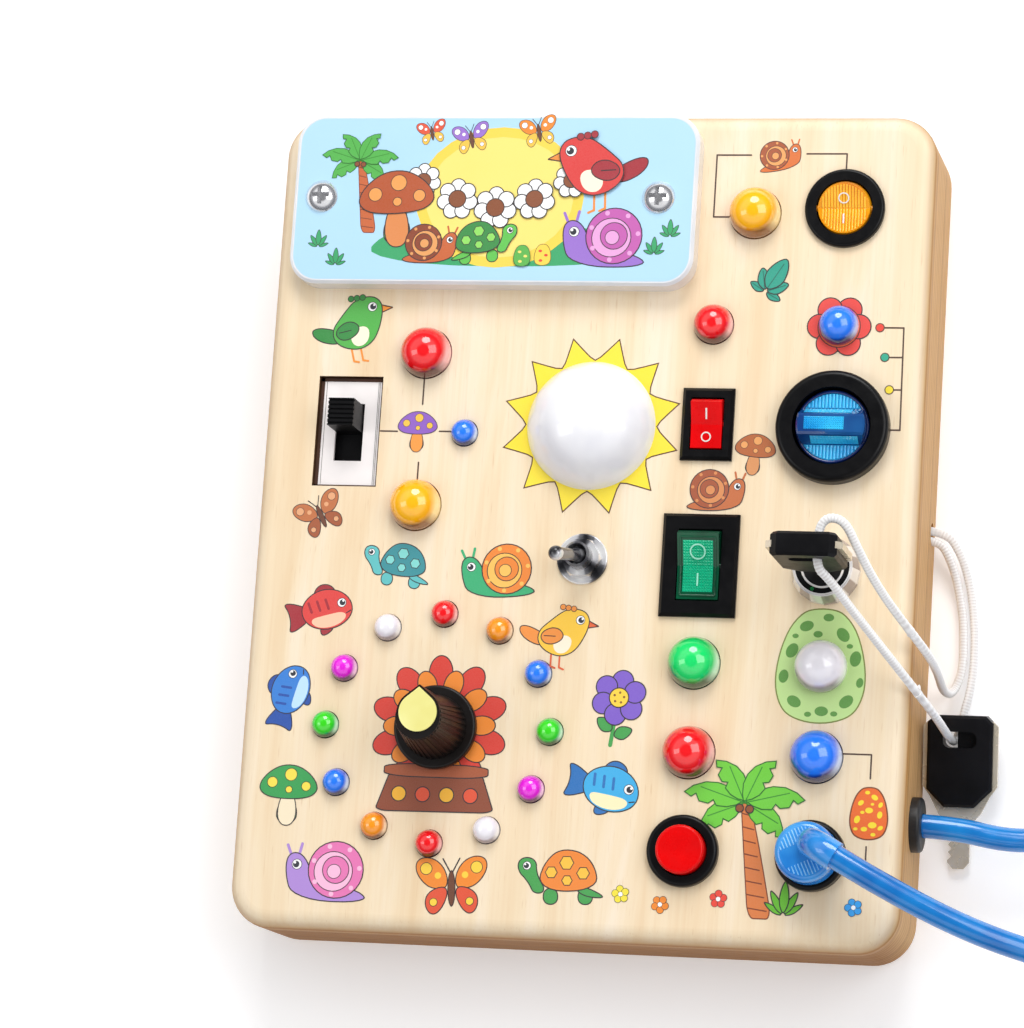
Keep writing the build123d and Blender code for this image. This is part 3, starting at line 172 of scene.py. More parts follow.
class Tools:
    """The nodes of one tree, with short ways to add, link and set; _ is a blank in a socket's name."""

    def __init__(self, tree, shader):
        self.tree = tree
        self.shader = shader

    def add(self, kind, inputs=None, **settings):
        node = self.tree.nodes.new(kind)
        for name, value in settings.items():
            setattr(node, name, value)
        for socket, value in (inputs or {}).items():
            if isinstance(value, bpy.types.NodeSocket):
                self.tree.links.new(value, node.inputs[socket])
            else:
                node.inputs[socket].default_value = ink(value) if isinstance(value, str) else value
        return node

    def set(self, **values):
        for socket, value in values.items():
            self.shader.inputs[socket.replace("_", " ")].default_value = value

    def feed(self, **outputs):
        for socket, output in outputs.items():
            self.tree.links.new(output, self.shader.inputs[socket.replace("_", " ")])

    def math(self, operation, a, b=0):
        return self.add("ShaderNodeMath", {0: a, 1: b}, operation=operation).outputs[0]

    def times(self, a, b):
        return self.math("MULTIPLY", a, b)

    def near(self, value, level, reach):
        """1 where a value is this close to a level, else 0."""
        return self.add("ShaderNodeMath", {0: value, 1: level, 2: reach}, operation="COMPARE").outputs[0]

    def mix(self, factor, a, b):
        return self.add("ShaderNodeMix", {0: factor, 6: a, 7: b}, data_type="RGBA").outputs[2]

    def ramp(self, value, stops):
        node = self.add("ShaderNodeValToRGB", {0: value})
        elements = node.color_ramp.elements
        while len(elements) < len(stops):
            elements.new(0.5)
        for element, (position, colour) in zip(elements, stops):
            element.position = position
            element.color = ink(colour)
        return node.outputs[0]

    def span(self, value, low, high, start=0, end=1):
        """A value spread from one range to another, held at both ends."""
        return self.add("ShaderNodeMapRange", {0: value, 1: low, 2: high, 3: start, 4: end}).outputs[0]

    def split(self, vector):
        return self.add("ShaderNodeSeparateXYZ", {0: vector}).outputs

    def here(self, scale=(1, 1, 1)):
        """The place on the piece, scaled: a scale of 1000 counts in millimetres."""
        place = self.add("ShaderNodeTexCoord").outputs["Object"]
        return self.add("ShaderNodeMapping", {"Vector": place, "Scale": scale}).outputs[0]

    def axis(self, name):
        """One coordinate of the place on the piece, in mm."""
        return self.split(self.here((1000, 1000, 1000)))[name]

    def facing(self):
        """The direction that the surface faces."""
        return self.add("ShaderNodeNewGeometry").outputs["Normal"]

    def toward(self, normal, direction):
        """How far the surface faces a direction."""
        inputs = {0: normal, 1: Vector(direction).normalized()}
        return self.add("ShaderNodeVectorMath", inputs, operation="DOT_PRODUCT").outputs["Value"]

    def noise(self, vector, detail=2, roughness=0.5, scale=1):
        inputs = {"Vector": vector, "Scale": scale, "Detail": detail, "Roughness": roughness}
        return self.add("ShaderNodeTexNoise", inputs).outputs[0]

    def gloss(self, value, low, high, start, end):
        """Roughness from start to end as a value goes from low to high."""
        self.feed(Roughness=self.span(value, low, high, start, end))

    def relief(self, value, depth, strength):
        """A bump of this depth in mm."""
        inputs = {"Height": value, "Strength": strength, "Distance": depth * MM}
        self.feed(Normal=self.add("ShaderNodeBump", inputs).outputs[0])

    def effect(self, group, **inputs):
        """One of the shared effects."""
        node = self.add("ShaderNodeGroup", node_tree=group)
        for name, value in inputs.items():
            node.inputs[name].default_value = value
        return node.outputs


materials = {}


def new_material(name):
    """A material with an empty tree but for its Principled shader; gives the tools of its tree."""
    material = bpy.data.materials.new(name)
    material.use_nodes = True
    materials[name] = material
    return Tools(material.node_tree, material.node_tree.nodes["Principled BSDF"])


def new_effect(name, given, outputs):
    """An empty node group with named number sockets: its tools, and its input."""
    tree = bpy.data.node_groups.new(name, "ShaderNodeTree")
    for direction, sockets in (("INPUT", (given,)), ("OUTPUT", outputs)):
        for socket in sockets:
            tree.interface.new_socket(socket, in_out=direction, socket_type="NodeSocketFloat")
    kit = Tools(tree, tree.nodes.new("NodeGroupOutput"))
    return kit, tree.nodes.new("NodeGroupInput").outputs[given]


# ---------------------------------------------------------------- shared effects
def grain_effect():
    """Wood along Y: broad figure, fine streaks and short pores."""
    kit, coarseness = new_effect("wood_grain", "Coarseness", ("Figure", "Streaks", "Pores"))
    warp = kit.times(kit.noise(kit.here((14, 5, 14))), 3.5)
    bent = kit.add("ShaderNodeVectorMath", {0: kit.here((95, 5, 40)), 1: warp}, operation="ADD").outputs[0]
    sized = kit.add("ShaderNodeVectorMath", {0: bent, "Scale": coarseness}, operation="SCALE").outputs[0]
    kit.feed(Figure=kit.noise(sized, 4, 0.62), Streaks=kit.noise(kit.here((900, 9, 900)), 3, 0.7))
    kit.feed(Pores=kit.span(kit.noise(kit.here((2400, 150, 2400)), 0), 0.74, 0.84))
    return kit.tree


def layer_effect():
    """The edges of glued veneers: bands one above the other, and fibres that run along the wall."""
    kit, thickness = new_effect("veneer_edges", "Thickness", ("Bands", "Fibres"))
    level = kit.math("DIVIDE", kit.axis("Z"), thickness)
    level = kit.math("ADD", level, kit.times(kit.noise(kit.here((20, 20, 160))), 0.35))
    kit.feed(Bands=kit.span(kit.math("SINE", kit.times(level, 2 * math.pi)), -0.9, 0.9))
    kit.feed(Fibres=kit.noise(kit.here((110, 110, 1500)), 3, 0.65))
    return kit.tree


def moulding_effect():
    """Moulded plastic: a slow drift of tone, a fine even texture and smudges."""
    kit, size = new_effect("moulding", "Size", ("Drift", "Texture", "Smudges"))
    scale = kit.math("DIVIDE", 1000, size)
    place = kit.here()
    kit.feed(Drift=kit.noise(place, scale=90), Texture=kit.noise(place, 1, scale=scale))
    kit.feed(Smudges=kit.span(kit.noise(place, 4, 0.7, 260), 0.42, 0.72))
    return kit.tree


def polish_effect():
    """Polished metal: faint smears and hair scratches along one direction."""
    kit, size = new_effect("polish", "Size", ("Smears", "Scratches"))
    scale = kit.math("DIVIDE", 1000, size)
    kit.feed(Smears=kit.span(kit.noise(kit.here(), 3, scale=scale), 0.35, 0.75))
    kit.feed(Scratches=kit.noise(kit.here((900, 9000, 9000))))
    return kit.tree


GRAIN = grain_effect()
LAYERS = layer_effect()
MOULDING = moulding_effect()
POLISH = polish_effect()


# ---------------------------------------------------------------- materials
def end_grain_and_shade(kit, normal, end=1):
    """How far a wall faces along Y, where its tan is darker: partly for end grain, partly as painted shade.
    """
    return kit.span(kit.math("ABSOLUTE", normal["Y"]), 0.4, 0.95, 0, end)


def face_wood():
    """The front board: pale birch, tanner on its edge, and browned by the cutter inside the holes."""
    kit = new_material("birch_face")
    grain = kit.effect(GRAIN, Coarseness=1)
    colour = kit.ramp(kit.span(grain["Figure"], 0.3, 0.7), ((0, "EDD3AE"), (0.5, "F3DFBF"), (1, "F7E7CF")))
    colour = kit.mix(kit.span(grain["Streaks"], 0.46, 0.74, 0, 0.16), colour, "DDB682")
    colour = kit.mix(kit.times(grain["Pores"], 0.22), colour, "C89A64")
    normal = kit.split(kit.facing())
    layers = kit.effect(LAYERS, Thickness=2.7)
    tan = kit.mix(layers["Bands"], "B48244", "C89C62")
    tan = kit.mix(kit.span(layers["Fibres"], 0.4, 0.75, 0, 0.4), tan, "90602C")
    # Edges facing along Y darker: partly end grain, partly painted shade.
    tan = kit.mix(end_grain_and_shade(kit, normal, 0.4), tan, "96602C")
    colour = kit.mix(kit.span(normal["Z"], 0.25, 0.85, 1, 0), colour, tan)
    within_x = kit.math("LESS_THAN", kit.math("ABSOLUTE", kit.axis("X")), HOLES_WITHIN[0])
    within_y = kit.math("LESS_THAN", kit.math("ABSOLUTE", kit.axis("Y")), HOLES_WITHIN[1])
    cut = kit.times(kit.times(within_x, within_y), kit.math("LESS_THAN", kit.axis("Z"), FACE - 0.02))
    kit.feed(Base_Color=kit.mix(kit.times(cut, 0.9), colour, "4A2C18"))
    kit.gloss(grain["Streaks"], 0.3, 0.8, 0.42, 0.6)
    kit.relief(kit.math("SUBTRACT", grain["Streaks"], grain["Pores"]), 0.03, 0.35)
    kit.set(Specular_IOR_Level=0.15, Coat_Weight=0.04, Coat_Roughness=0.35)


def frame_wood():
    """The wall layers: tan veneer edges with a dark glue line where two layers meet, darker where they face
    along Y (partly end grain, partly painted shade) and lighter where they face along X (painted light).
    """
    kit = new_material("birch_frame")
    layers = kit.effect(LAYERS, Thickness=3.1)
    colour = kit.ramp(layers["Bands"], ((0, "9C6A32"), (0.5, "B28048"), (1, "C4945A")))
    colour = kit.mix(kit.span(layers["Fibres"], 0.4, 0.75, 0, 0.5), colour, "7C4C20")
    across = end_grain_and_shade(kit, kit.split(kit.facing()))
    # Walls facing along Y darker: partly end grain, partly painted shade.
    colour = kit.mix(kit.times(across, 0.5), colour, "86501C")
    # Walls facing along X lighter: painted light.
    colour = kit.mix(kit.times(kit.math("SUBTRACT", 1, across), 0.5), colour, "E0B884")
    level = kit.axis("Z")
    colour = kit.mix(kit.times(kit.near(level, 13, 0.22), 0.75), colour, "6B4523")
    kit.feed(Base_Color=kit.mix(kit.times(kit.near(level, 30, 0.12), 0.3), colour, "8A6238"))
    kit.gloss(layers["Fibres"], 0.3, 0.8, 0.42, 0.62)
    kit.relief(layers["Fibres"], 0.04, 0.4)
    kit.set(Specular_IOR_Level=0.06)


def back_paint():
    """The painted back cover: a pinkish cream that hides most of the grain."""
    kit = new_material("cream_back")
    grain = kit.effect(GRAIN, Coarseness=1)
    moulding = kit.effect(MOULDING, Size=0.6)
    colour = kit.mix(kit.span(grain["Figure"], 0.3, 0.7, 0, 0.35), "F4E3D6", "ECD5C3")
    kit.feed(Base_Color=kit.mix(kit.times(moulding["Smudges"], 0.12), colour, "E2C7B2"))
    kit.gloss(moulding["Drift"], 0.3, 0.7, 0.38, 0.5)
    kit.relief(grain["Streaks"], 0.02, 0.3)


def plastic(name, colour, shade, roughness, coat=0, shine=0.5, painted_glow=0, texture=0.02, size=0.5):
    """Moulded plastic that drifts from a colour to its shade, with uneven gloss, a fine texture and, if
    asked, a painted glow.
    """
    kit = new_material(name)
    moulding = kit.effect(MOULDING, Size=size)
    tone = kit.mix(kit.span(moulding["Drift"], 0.35, 0.65), colour, shade)
    kit.feed(Base_Color=tone)
    kit.gloss(moulding["Smudges"], 0, 1, roughness, roughness + 0.1)
    kit.relief(moulding["Texture"], texture, 0.35)
    kit.set(Coat_Weight=coat, Coat_Roughness=0.04, Specular_IOR_Level=shine)
    # A painted glow: light given to a part that is no lamp.
    if painted_glow:
        kit.feed(Emission_Color=tone)
        kit.set(Emission_Strength=painted_glow)


PAINTED_HIGHLIGHT_SIDE = (0.93, -0.36, 0)       # the side of a clear cap that gets a pale crescent of painted highlight
SHADED_SIDE = (-0.25, -0.97, 0)     # the side of a clear cap that gets a dark crescent of painted shade at its foot
SMALL_LIGHTS_END = 20               # the lights of the ring are all left of this place, in mm


def lens(name, bright, deep, foot, rim, painted_glow=0.1, ring=None):
    """A clear coloured lamp cap with painted light: deeper colour where it steepens (partly its thicker
    tint, partly painted shade), a pale crescent of painted highlight at one side and a dark crescent of
    painted shade at its foot.
    """
    kit = new_material(name)
    moulding = kit.effect(MOULDING, Size=1.2)
    facing = kit.facing()
    steep = kit.math("ADD", kit.split(facing)["Z"], kit.span(moulding["Drift"], 0.3, 0.7, -0.04, 0.04))
    # Deeper colour where the cap steepens: partly the thicker tint of clear plastic, partly painted shade.
    tone = kit.mix(kit.span(steep, 0.3, 0.8), deep, bright)
    if ring:
        small = kit.math("LESS_THAN", kit.axis("X"), SMALL_LIGHTS_END)
        tone = kit.mix(small, tone, kit.mix(kit.span(steep, 0.3, 0.8), deep, ring))
    # A pale crescent of painted highlight on one side, where the cap's wall is steep.
    near = kit.span(kit.toward(facing, PAINTED_HIGHLIGHT_SIDE), 0.45, 0.9)
    tone = kit.mix(kit.times(kit.span(steep, 0.62, 0.36, 0, 0.8), near), tone, rim)
    # A dark crescent of painted shade at the foot, on the side away from the light.
    under = kit.span(kit.toward(facing, SHADED_SIDE), 0.15, 0.6)
    tone = kit.mix(kit.times(kit.span(steep, 0.64, 0.46, 0, 0.9), under), tone, foot)
    kit.feed(Base_Color=tone, Emission_Color=tone)
    kit.gloss(moulding["Smudges"], 0, 1, 0.04, 0.08)
    kit.relief(moulding["Drift"], 0.05, 0.1)
    # The emission is a painted glow of the cap's own colours.
    kit.set(Emission_Strength=painted_glow, Coat_Weight=1, Coat_Roughness=0.02)
    kit.set(Subsurface_Weight=0.12, Subsurface_Radius=(0.004, 0.004, 0.004))


def polished(name, tone, roughness, metallic, size):
    """Polished metal with smears and hair scratches; tone gives its colour from the tools and the smears."""
    kit = new_material(name)
    polish = kit.effect(POLISH, Size=size)
    kit.feed(Base_Color=tone(kit, polish["Smears"]))
    kit.set(Metallic=metallic)
    kit.gloss(polish["Smears"], 0, 1, roughness, roughness + 0.08)
    kit.relief(polish["Scratches"], 0.004, 0.15)


def metal(name, colour, dark, roughness, metallic=1):
    """Bare metal; a plated one is a little less metallic."""
    polished(name, lambda kit, smears: kit.mix(kit.times(smears, 0.5), colour, dark), roughness, metallic, 6)


def painted_facet_reflection(kit, smears):
    """Painted reflection: light and dark bands round an upright wall, as flat facets would show, every other
    one darker.
    """
    facing = kit.split(kit.facing())
    around = kit.math("ARCTAN2", facing["Y"], facing["X"])
    # Painted reflection of facets on a smooth wall.
    reflected_bands = kit.span(kit.math("SINE", kit.times(around, 8)), -0.2, 0.2)
    reflected_bands = kit.times(reflected_bands, kit.span(facing["Z"], 0.8, 0.5))
    return kit.mix(kit.times(smears, 0.3), kit.mix(reflected_bands, "FAF8F8", "A89C98"), "C4C0BE")


def painted_turned_reflection(kit, smears):
    """Painted reflection: light and dark sweeping round the toggle's axis as on turned chrome, with the
    lever's stem below its tip painted dark.
    """
    x, y = middle("toggle_nut")[:2]
    x, y = kit.math("SUBTRACT", kit.axis("X"), x), kit.math("SUBTRACT", kit.axis("Y"), y)
    around = kit.math("ADD", kit.math("ARCTAN2", y, x), kit.span(smears, 0, 1, -0.15, 0.15))
    # Painted reflection: bands of light and dark by the angle round the axis.
    reflected_sweep = kit.span(kit.math("SINE", kit.math("ADD", kit.times(around, 3), 0.6)), -1, 1)
    tone = kit.ramp(reflected_sweep, ((0, "2E2E32"), (0.28, "85858A"), (0.5, "E8E8EC"), (1, "FFFFFF")))
    level = kit.axis("Z")
    bare, tip = top("toggle_nut") + 0.5, top("toggle_lever") - 3.2
    # The stem painted darker, as a painted reflection.
    stem = kit.times(kit.span(level, bare, bare + 0.8), kit.span(level, tip + 0.5, tip))
    return kit.mix(kit.times(stem, 0.8), tone, "54545A")


def printed():
    """Printing ink, which takes its colour from the sheet's own ink attribute."""
    kit = new_material("printed_ink")
    moulding = kit.effect(MOULDING, Size=0.35)
    colour = kit.add("ShaderNodeAttribute", attribute_name="ink").outputs["Color"]
    kit.feed(Base_Color=kit.mix(kit.times(moulding["Texture"], 0.05), colour, "FFFFFF"))
    kit.gloss(moulding["Drift"], 0.3, 0.7, 0.36, 0.5)
    kit.relief(moulding["Texture"], 0.01, 0.2)


def cord_finish():
    """White braided cord: pale threads with a little grey of painted shade between them."""
    kit = new_material("cord_white")
    moulding = kit.effect(MOULDING, Size=0.25)
    weave = kit.add("ShaderNodeAttribute", attribute_name="weave").outputs["Fac"]
    # Painted shade: grey in the grooves between the threads.
    threads_and_shade = kit.mix(kit.span(weave, -0.9, 0.5), "CFC9C6", "FFFFFF")
    kit.feed(Base_Color=kit.mix(kit.times(moulding["Texture"], 0.4), threads_and_shade, "FFFFFF"))
    kit.gloss(moulding["Drift"], 0.3, 0.7, 0.6, 0.8)
    kit.relief(moulding["Texture"], 0.06, 0.6)
    kit.set(Sheen_Weight=0.3)


# name, crown, deeper colour where the cap steepens, painted shade at its foot, pale painted highlight,
# painted glow, crown in the ring
LENSES = (
    ("lens_red", "F5181F", "C60A12", "3A0206", "FFC8C8"),
    ("lens_orange", "F79A1E", "D96A08", "5A2404", "FFE9C4"),
    ("lens_yellow", "FDB813", "F09A06", "7A3C02", "FFE9A8", 0.16),
    ("lens_green", "1CE070", "08A850", "02361A", "CFFFE0", 0.1, "3CDC22"),
    ("lens_blue", "2A80FA", "0A46D0", "020C44", "D6E8FF"),
    ("lens_magenta", "EA26DE", "B40CAE", "3E0440", "FFD6F8"),
    ("lens_white", "F4F1F8", "DCD5E2", "94868E", "FFFFFF", 0.08),
)
# name, colour, shade, roughness, coat, shine, painted glow on parts that are no lamps, texture, size of the
# texture
PLASTICS = (
    ("sky_plate", "F1F1F4", "E6E9EE", 0.18, 0.5),
    ("tray_plastic", "16161A", "0E0E10", 0.5),
    ("cell_jacket", "1C2228", "10151A", 0.25, 0.4),
    ("dome_white", "F8F8FB", "EEEEF4", 0.1, 0.7, 0.5, 0.04, 0.06, 3),
    ("circuit_board", "1E6B3C", "14502C", 0.4),
    ("wire_jacket", "B02A22", "8E1E18", 0.4),
    ("black_satin", "0C0C0E", "08080A", 0.38, 0, 0.16, 0, 0.03),
    ("black_gloss", "0B0B0D", "070709", 0.3, 0.04, 0.2),
    ("rocker_amber", "F4A616", "DC8008", 0.12, 0.4, 0.4, 0.08),
    ("rocker_red", "F0080E", "DA050A", 0.26, 0.04, 0.15),
    ("rocker_green", "055A3A", "03432B", 0.1, 0.3, 0.4, 0.03),
    ("green_prisms", "12BE8C", "08A478", 0.2, 0.2, 0.4, 0.12),
    ("selector_blue", "1E5C9C", "123C7C", 0.08, 0.7),
    ("selector_fan", "2C9ED4", "1C86BE", 0.1, 0.6, 0.5, 0.08),
    ("selector_rim", "0A2A72", "061A50", 0.08, 1),
    ("selector_glint", "3CC4F2", "1C98DC", 0.1, 0.8, 0.5, 0.08),
    ("shaft_plastic", "C9C9C6", "B4B4B0", 0.4),
    ("knob_dark", "140D0A", "0B0808", 0.36, 0.06, 0.3, 0, 0.03),
    ("cap_cream", "F6F2A2", "EDE68C", 0.32, 0.1),
    ("barrel_black", "121215", "0C0C0F", 0.3, 0.1, 0.35),
    ("key_black", "101012", "151518", 0.34, 0, 0.12, 0, 0.03),
    ("button_red", "F00407", "DE0205", 0.26, 0.06, 0.2),
    ("clear_blue", "3E9EE8", "1C78CE", 0.08, 0.6, 0.5, 0.08, 0.04, 2),
    ("clear_ridge", "8CCCF6", "5CB0EC", 0.12, 0.6, 0.5, 0.08),
    ("hose_blue", "1886D4", "0E6CBC", 0.14, 0.6, 0.5, 0.05, 0.05, 3),
    ("grommet_rubber", "151517", "1B1B1D", 0.42),
    ("legend_white", "F6F2EE", "E8E2DC", 0.35),
    ("legend_mint", "ACEED8", "98E2C8", 0.3),
    ("burnt_edge", "4E2C18", "38200F", 0.6),
    ("fold_shadow", "8E8A88", "7C7876", 0.5),
    ("dot_red", "C01A22", "A01018", 0.3),
    ("dot_green", "0E7A3C", "0A602E", 0.3),
    ("amber_disc", "FBC92E", "F4B21A", 0.12, 0.9, 0.5, 0.12),
    ("switch_plate", "F8F2F0", "EEE8E6", 0.34, 0.1, 0.5, 0.06, 0.03, 0.4),
)
# name, colour, dark, roughness, how metallic
METALS = (
    ("screw_steel", "F0F0F2", "C4C4C8", 0.1, 0.8),
    ("contact_steel", "C9C9C4", "A5A5A0", 0.3),
    ("shaft_steel", "BEBEBE", "9C9C9C", 0.25),
    ("nut_steel", "B4B4B0", "94948F", 0.3),
    ("key_nickel", "E8DCC6", "C8BAA0", 0.24, 0.4),
    ("pin_brass", "E0B050", "B88830", 0.15),
)


def make_materials():
    """Every finish of the board, under the names of the record's slots, and the CAD nodes in theirs."""
    for make in (face_wood, frame_wood, back_paint, printed, cord_finish):
        make()
    for make, rows in ((lens, LENSES), (plastic, PLASTICS), (metal, METALS)):
        for row in rows:
            make(*row)
    # The toggle's metal gets painted reflections from its tone.
    polished("toggle_nickel", painted_turned_reflection, 0.08, 0.4, 3)
    # The lock's metal gets painted facet reflections from its tone.
    polished("lock_chrome", painted_facet_reflection, 0.08, 0.3, 6)
    for row in frame["record"]["subparts"]:
        if row["material_slot"] in materials:
            for holder in frame["nodes"][row["node"]].material_slots:
                holder.material = materials[row["material_slot"]]


# ---------------------------------------------------------------- making pieces
def join(shape, part, place=Matrix()):
    """Moves a part to its place and adds it to a shape."""
    bmesh.ops.transform(part, matrix=place, verts=part.verts)
    mesh = bpy.data.meshes.new("part")
    part.to_mesh(mesh)
    part.free()
    shape.from_mesh(mesh)
    bpy.data.meshes.remove(mesh)


def dress_mesh(name, mesh, finish, smooth):
    """A mesh as a named piece with one finish."""
    mesh.name = name
    for polygon in mesh.polygons:
        polygon.use_smooth = smooth
    mesh.materials.clear()
    mesh.materials.append(materials[finish])
    piece = add_object(name, mesh)
    return piece


def finish_piece(name, shape, body, finish, smooth=False):
    """Turns a bmesh in mm into a named piece that rides on a body."""
    bmesh.ops.scale(shape, vec=(MM, MM, MM), verts=shape.verts)
    mesh = bpy.data.meshes.new(name)
    shape.to_mesh(mesh)
    shape.free()
    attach(dress_mesh(name, mesh, finish, smooth), body)


def add_piece(name, body, finish, parts, smooth=False):
    """A piece from parts, each with its place."""
    shape = bmesh.new()
    for part, place in parts:
        join(shape, part, place)
    finish_piece(name, shape, body, finish, smooth)


# ---------------------------------------------------------------- cords
HOSE_ROUTE = (
    (81.27, -95.66, 57.5), (97.01, -104.38, 57.5), (120.6, -114.8, 54), (143, -120.5, 46),
    (165, -128, 33.5), (185, -138, 20), (208, -135, 10), (225.6, -121.9, 5),
    (234.4, -101.4, 3.7), (231.3, -79.2, 3.5), (216, -63.2, 3.5), (194.3, -57.9, 3.6),
    (173.6, -63.2, 4.2), (157, -73.8, 7), (141.6, -81.8, 11.5), (125, -85.2, 16),
    (106.5, -81.5, 19), (86.5, -81.5, 19),
)
LOWER_ROUTE = (
    (86.5, 5.35, 7.6), (100, 5.35, 7.6), (104.8, -1.2, 5), (107.4, -9.6, 2), (109, -19.4, 1.5),
    (109.6, -30, 1.5), (109, -39.6, 1.5), (107, -48, 1.5), (105.4, -55.9, 1.6), (104.4, -55, 13),
    (102.6, -51.6, 26), (98.6, -46.7, 37.2),
)
LOOP_ROUTE = (
    (98.6, -46.7, 37.2), (94.6, -41.8, 48.4), (88.6, -34.6, 55.6), (82.6, -27.4, 63.4), (77.6, -21, 70.4),
    (74.5, -18.52, 73.1), (74.5, -7.77, 73.1), (77.2, -4.4, 73.6), (81.8, -5.6, 72.8), (84.8, -11.8, 69.8),
    (88.4, -19, 63.4), (93.2, -26.2, 55.4), (97.3, -31.1, 45.7),
)
UPPER_ROUTE = (
    (97.3, -31.1, 45.7), (101.4, -36, 36), (102.2, -39, 22), (102, -42, 8.6), (103.8, -41.6, 1.5),
    (106.2, -35.4, 1.5), (106.3, -27, 1.5), (105.6, -18, 1.5), (103.8, -9.4, 2.4), (101.8, -2.8, 5.4),
    (98.2, 2.65, 7.6), (86.5, 2.65, 7.6),
)
HOSE_DIAMETER = 6.8
CORD_DIAMETER = 2.6
CORD_SIDES = 12
BRAID_PITCH = 1.8
SPRING_WIRE = 0.8
SPRING_TURNS = 5
TURN_STEPS = 16       # points on one turn of the spring


def metres(place):
    """A place in mm as a place in metres."""
    return [value * MM for value in place]


def route_mesh(name, route, steps, thickness=0, sides=CORD_SIDES):
    """The mesh of a smooth line along a route: the bare line, or a round tube with this thickness."""
    curve = bpy.data.curves.new(name, "CURVE")
    curve.dimensions = "3D"
    curve.bevel_depth = thickness / 2 * MM
    curve.bevel_resolution = (sides - 4) // 2
    curve.use_fill_caps = thickness > 0
    spline = curve.splines.new("NURBS")
    spline.points.add(len(route) - 1)
    for point, place in zip(spline.points, route):
        point.co = (*metres(place), 1)
    spline.order_u = 3
    spline.use_endpoint_u = True
    spline.resolution_u = steps
    drawing = add_object(name, curve)
    bpy.context.view_layer.update()
    mesh = bpy.data.meshes.new_from_object(drawing.evaluated_get(bpy.context.evaluated_depsgraph_get()))
    bpy.data.objects.remove(drawing)
    return mesh


def braid(mesh, line, sides):
    """Crossing strands that stand out from a cord's surface."""
    weave = mesh.attributes.new("weave", "FLOAT", "POINT")
    run = 0
    for index, centre in enumerate(line):
        run += (centre - line[index - 1]).length / MM if index else 0
        along = 2 * math.pi * run / BRAID_PITCH
        for side in range(sides):
            vertex = mesh.vertices[index * sides + side]
            turn = 2 * math.pi * side / sides
            crossing = math.cos(along + 2 * turn) * math.cos(along - 2 * turn)
            vertex.co = centre + (vertex.co - centre) * (0.96 + 0.05 * crossing)
            # The weave value also sets the painted shade between threads of the white cord.
            weave.data[index * sides + side].value = crossing


def add_cord(name, node, route, steps, diameter, sides, finish, start, end):
    """A cord along its route, in place of a CAD node."""
    line = [vertex.co.copy() for vertex in route_mesh(name + "_line", route, steps).vertices]
    mesh = route_mesh(name, route, steps, diameter, sides)
    if finish == "cord_white":
        braid(mesh, line, sides)
    cord = dress_mesh(name, mesh, finish, True)
    mesh.set_sharp_from_angle(angle=math.radians(60))
    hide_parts(node)
    metres(start)
    metres(end)
    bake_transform(cord)
    length = sum((b - a).length for a, b in zip(line, line[1:]))
    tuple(line[0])


def add_cords():
    """The hose and the three stretches of the lanyard."""
    add_cord(
        "blue_hose", "hose", HOSE_ROUTE, 10, HOSE_DIAMETER, 24, "hose_blue",
        HOSE_ROUTE[1], HOSE_ROUTE[4],
    )
    for name, node, route, bodies, start, end in (
        ("cord_lower", "lower_strand", LOWER_ROUTE, ("case", "key_carriage"), (0, 0, 4), (0, 0, 36.5)),
        ("cord_loop", "key_loop", LOOP_ROUTE, ("key_carriage", "key"), (96.6, 0, 0), (78.7, 0, 0)),
        ("cord_upper", "upper_strand", UPPER_ROUTE, ("case", "key_carriage"), (0, 0, 12), (0, 0, 45)),
    ):
        node = "lanyard_" + node
        add_cord(name, node, route, 30, CORD_DIAMETER, CORD_SIDES, "cord_white", start, end)


def add_spring():
    """The coil spring under the red cap."""
    low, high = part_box("push_button_spring")
    x, y, _ = middle("push_button_spring")
    radius = (high[0] - low[0] - SPRING_WIRE * MM) / 2 / MM
    foot, length = low[2] / MM + SPRING_WIRE / 2, (high[2] - low[2]) / MM - SPRING_WIRE
    steps = SPRING_TURNS * TURN_STEPS
    route = []
    for step in range(steps + 1):
        turn = 2 * math.pi * step / TURN_STEPS
        rise = length * step / steps
        route.append((x + radius * math.cos(turn), y + radius * math.sin(turn), foot + rise))
    mesh = route_mesh("push_spring", route, 2, SPRING_WIRE, 8)
    piece = dress_mesh("push_spring", mesh, "contact_steel", True)
    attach(piece, "case")
    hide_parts("push_button_spring")
    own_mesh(piece)


# ---------------------------------------------------------------- small raised details
ROCKER_PIVOT = 0.4    # height of a rocker's pivot over the face, in mm
ROCKER_RISE = 2       # height of its crease over the pivot
ROCKER_TILT = 12      # its rest tilt, in degrees
ROCKER_SLOPE = 9      # the slope of each half
MARK_RISE = 0.14


def round_off(shape, geom, offset, kind="OFFSET", segments=2, affect="EDGES"):
    """Rounds edges or corners."""
    bmesh.ops.bevel(
        shape, geom=geom, offset=offset, offset_type=kind, segments=segments, profile=0.5, affect=affect,
        material=-1,
    )


def circle(radius, segments):
    """A flat round patch."""
    patch = bmesh.new()
    bmesh.ops.create_circle(patch, cap_ends=True, radius=radius, segments=segments)
    return patch


def lift(patch, rise):
    """Gives flat faces a thickness."""
    grown = bmesh.ops.extrude_face_region(patch, geom=patch.faces[:])["geom"]
    upper = [part for part in grown if isinstance(part, bmesh.types.BMVert)]
    bmesh.ops.translate(patch, vec=(0, 0, rise), verts=upper)
    bmesh.ops.recalc_face_normals(patch, faces=patch.faces)
    return patch


def button_disc(radius, rise, segments):
    """A thin round disc."""
    return lift(circle(radius, segments), rise)


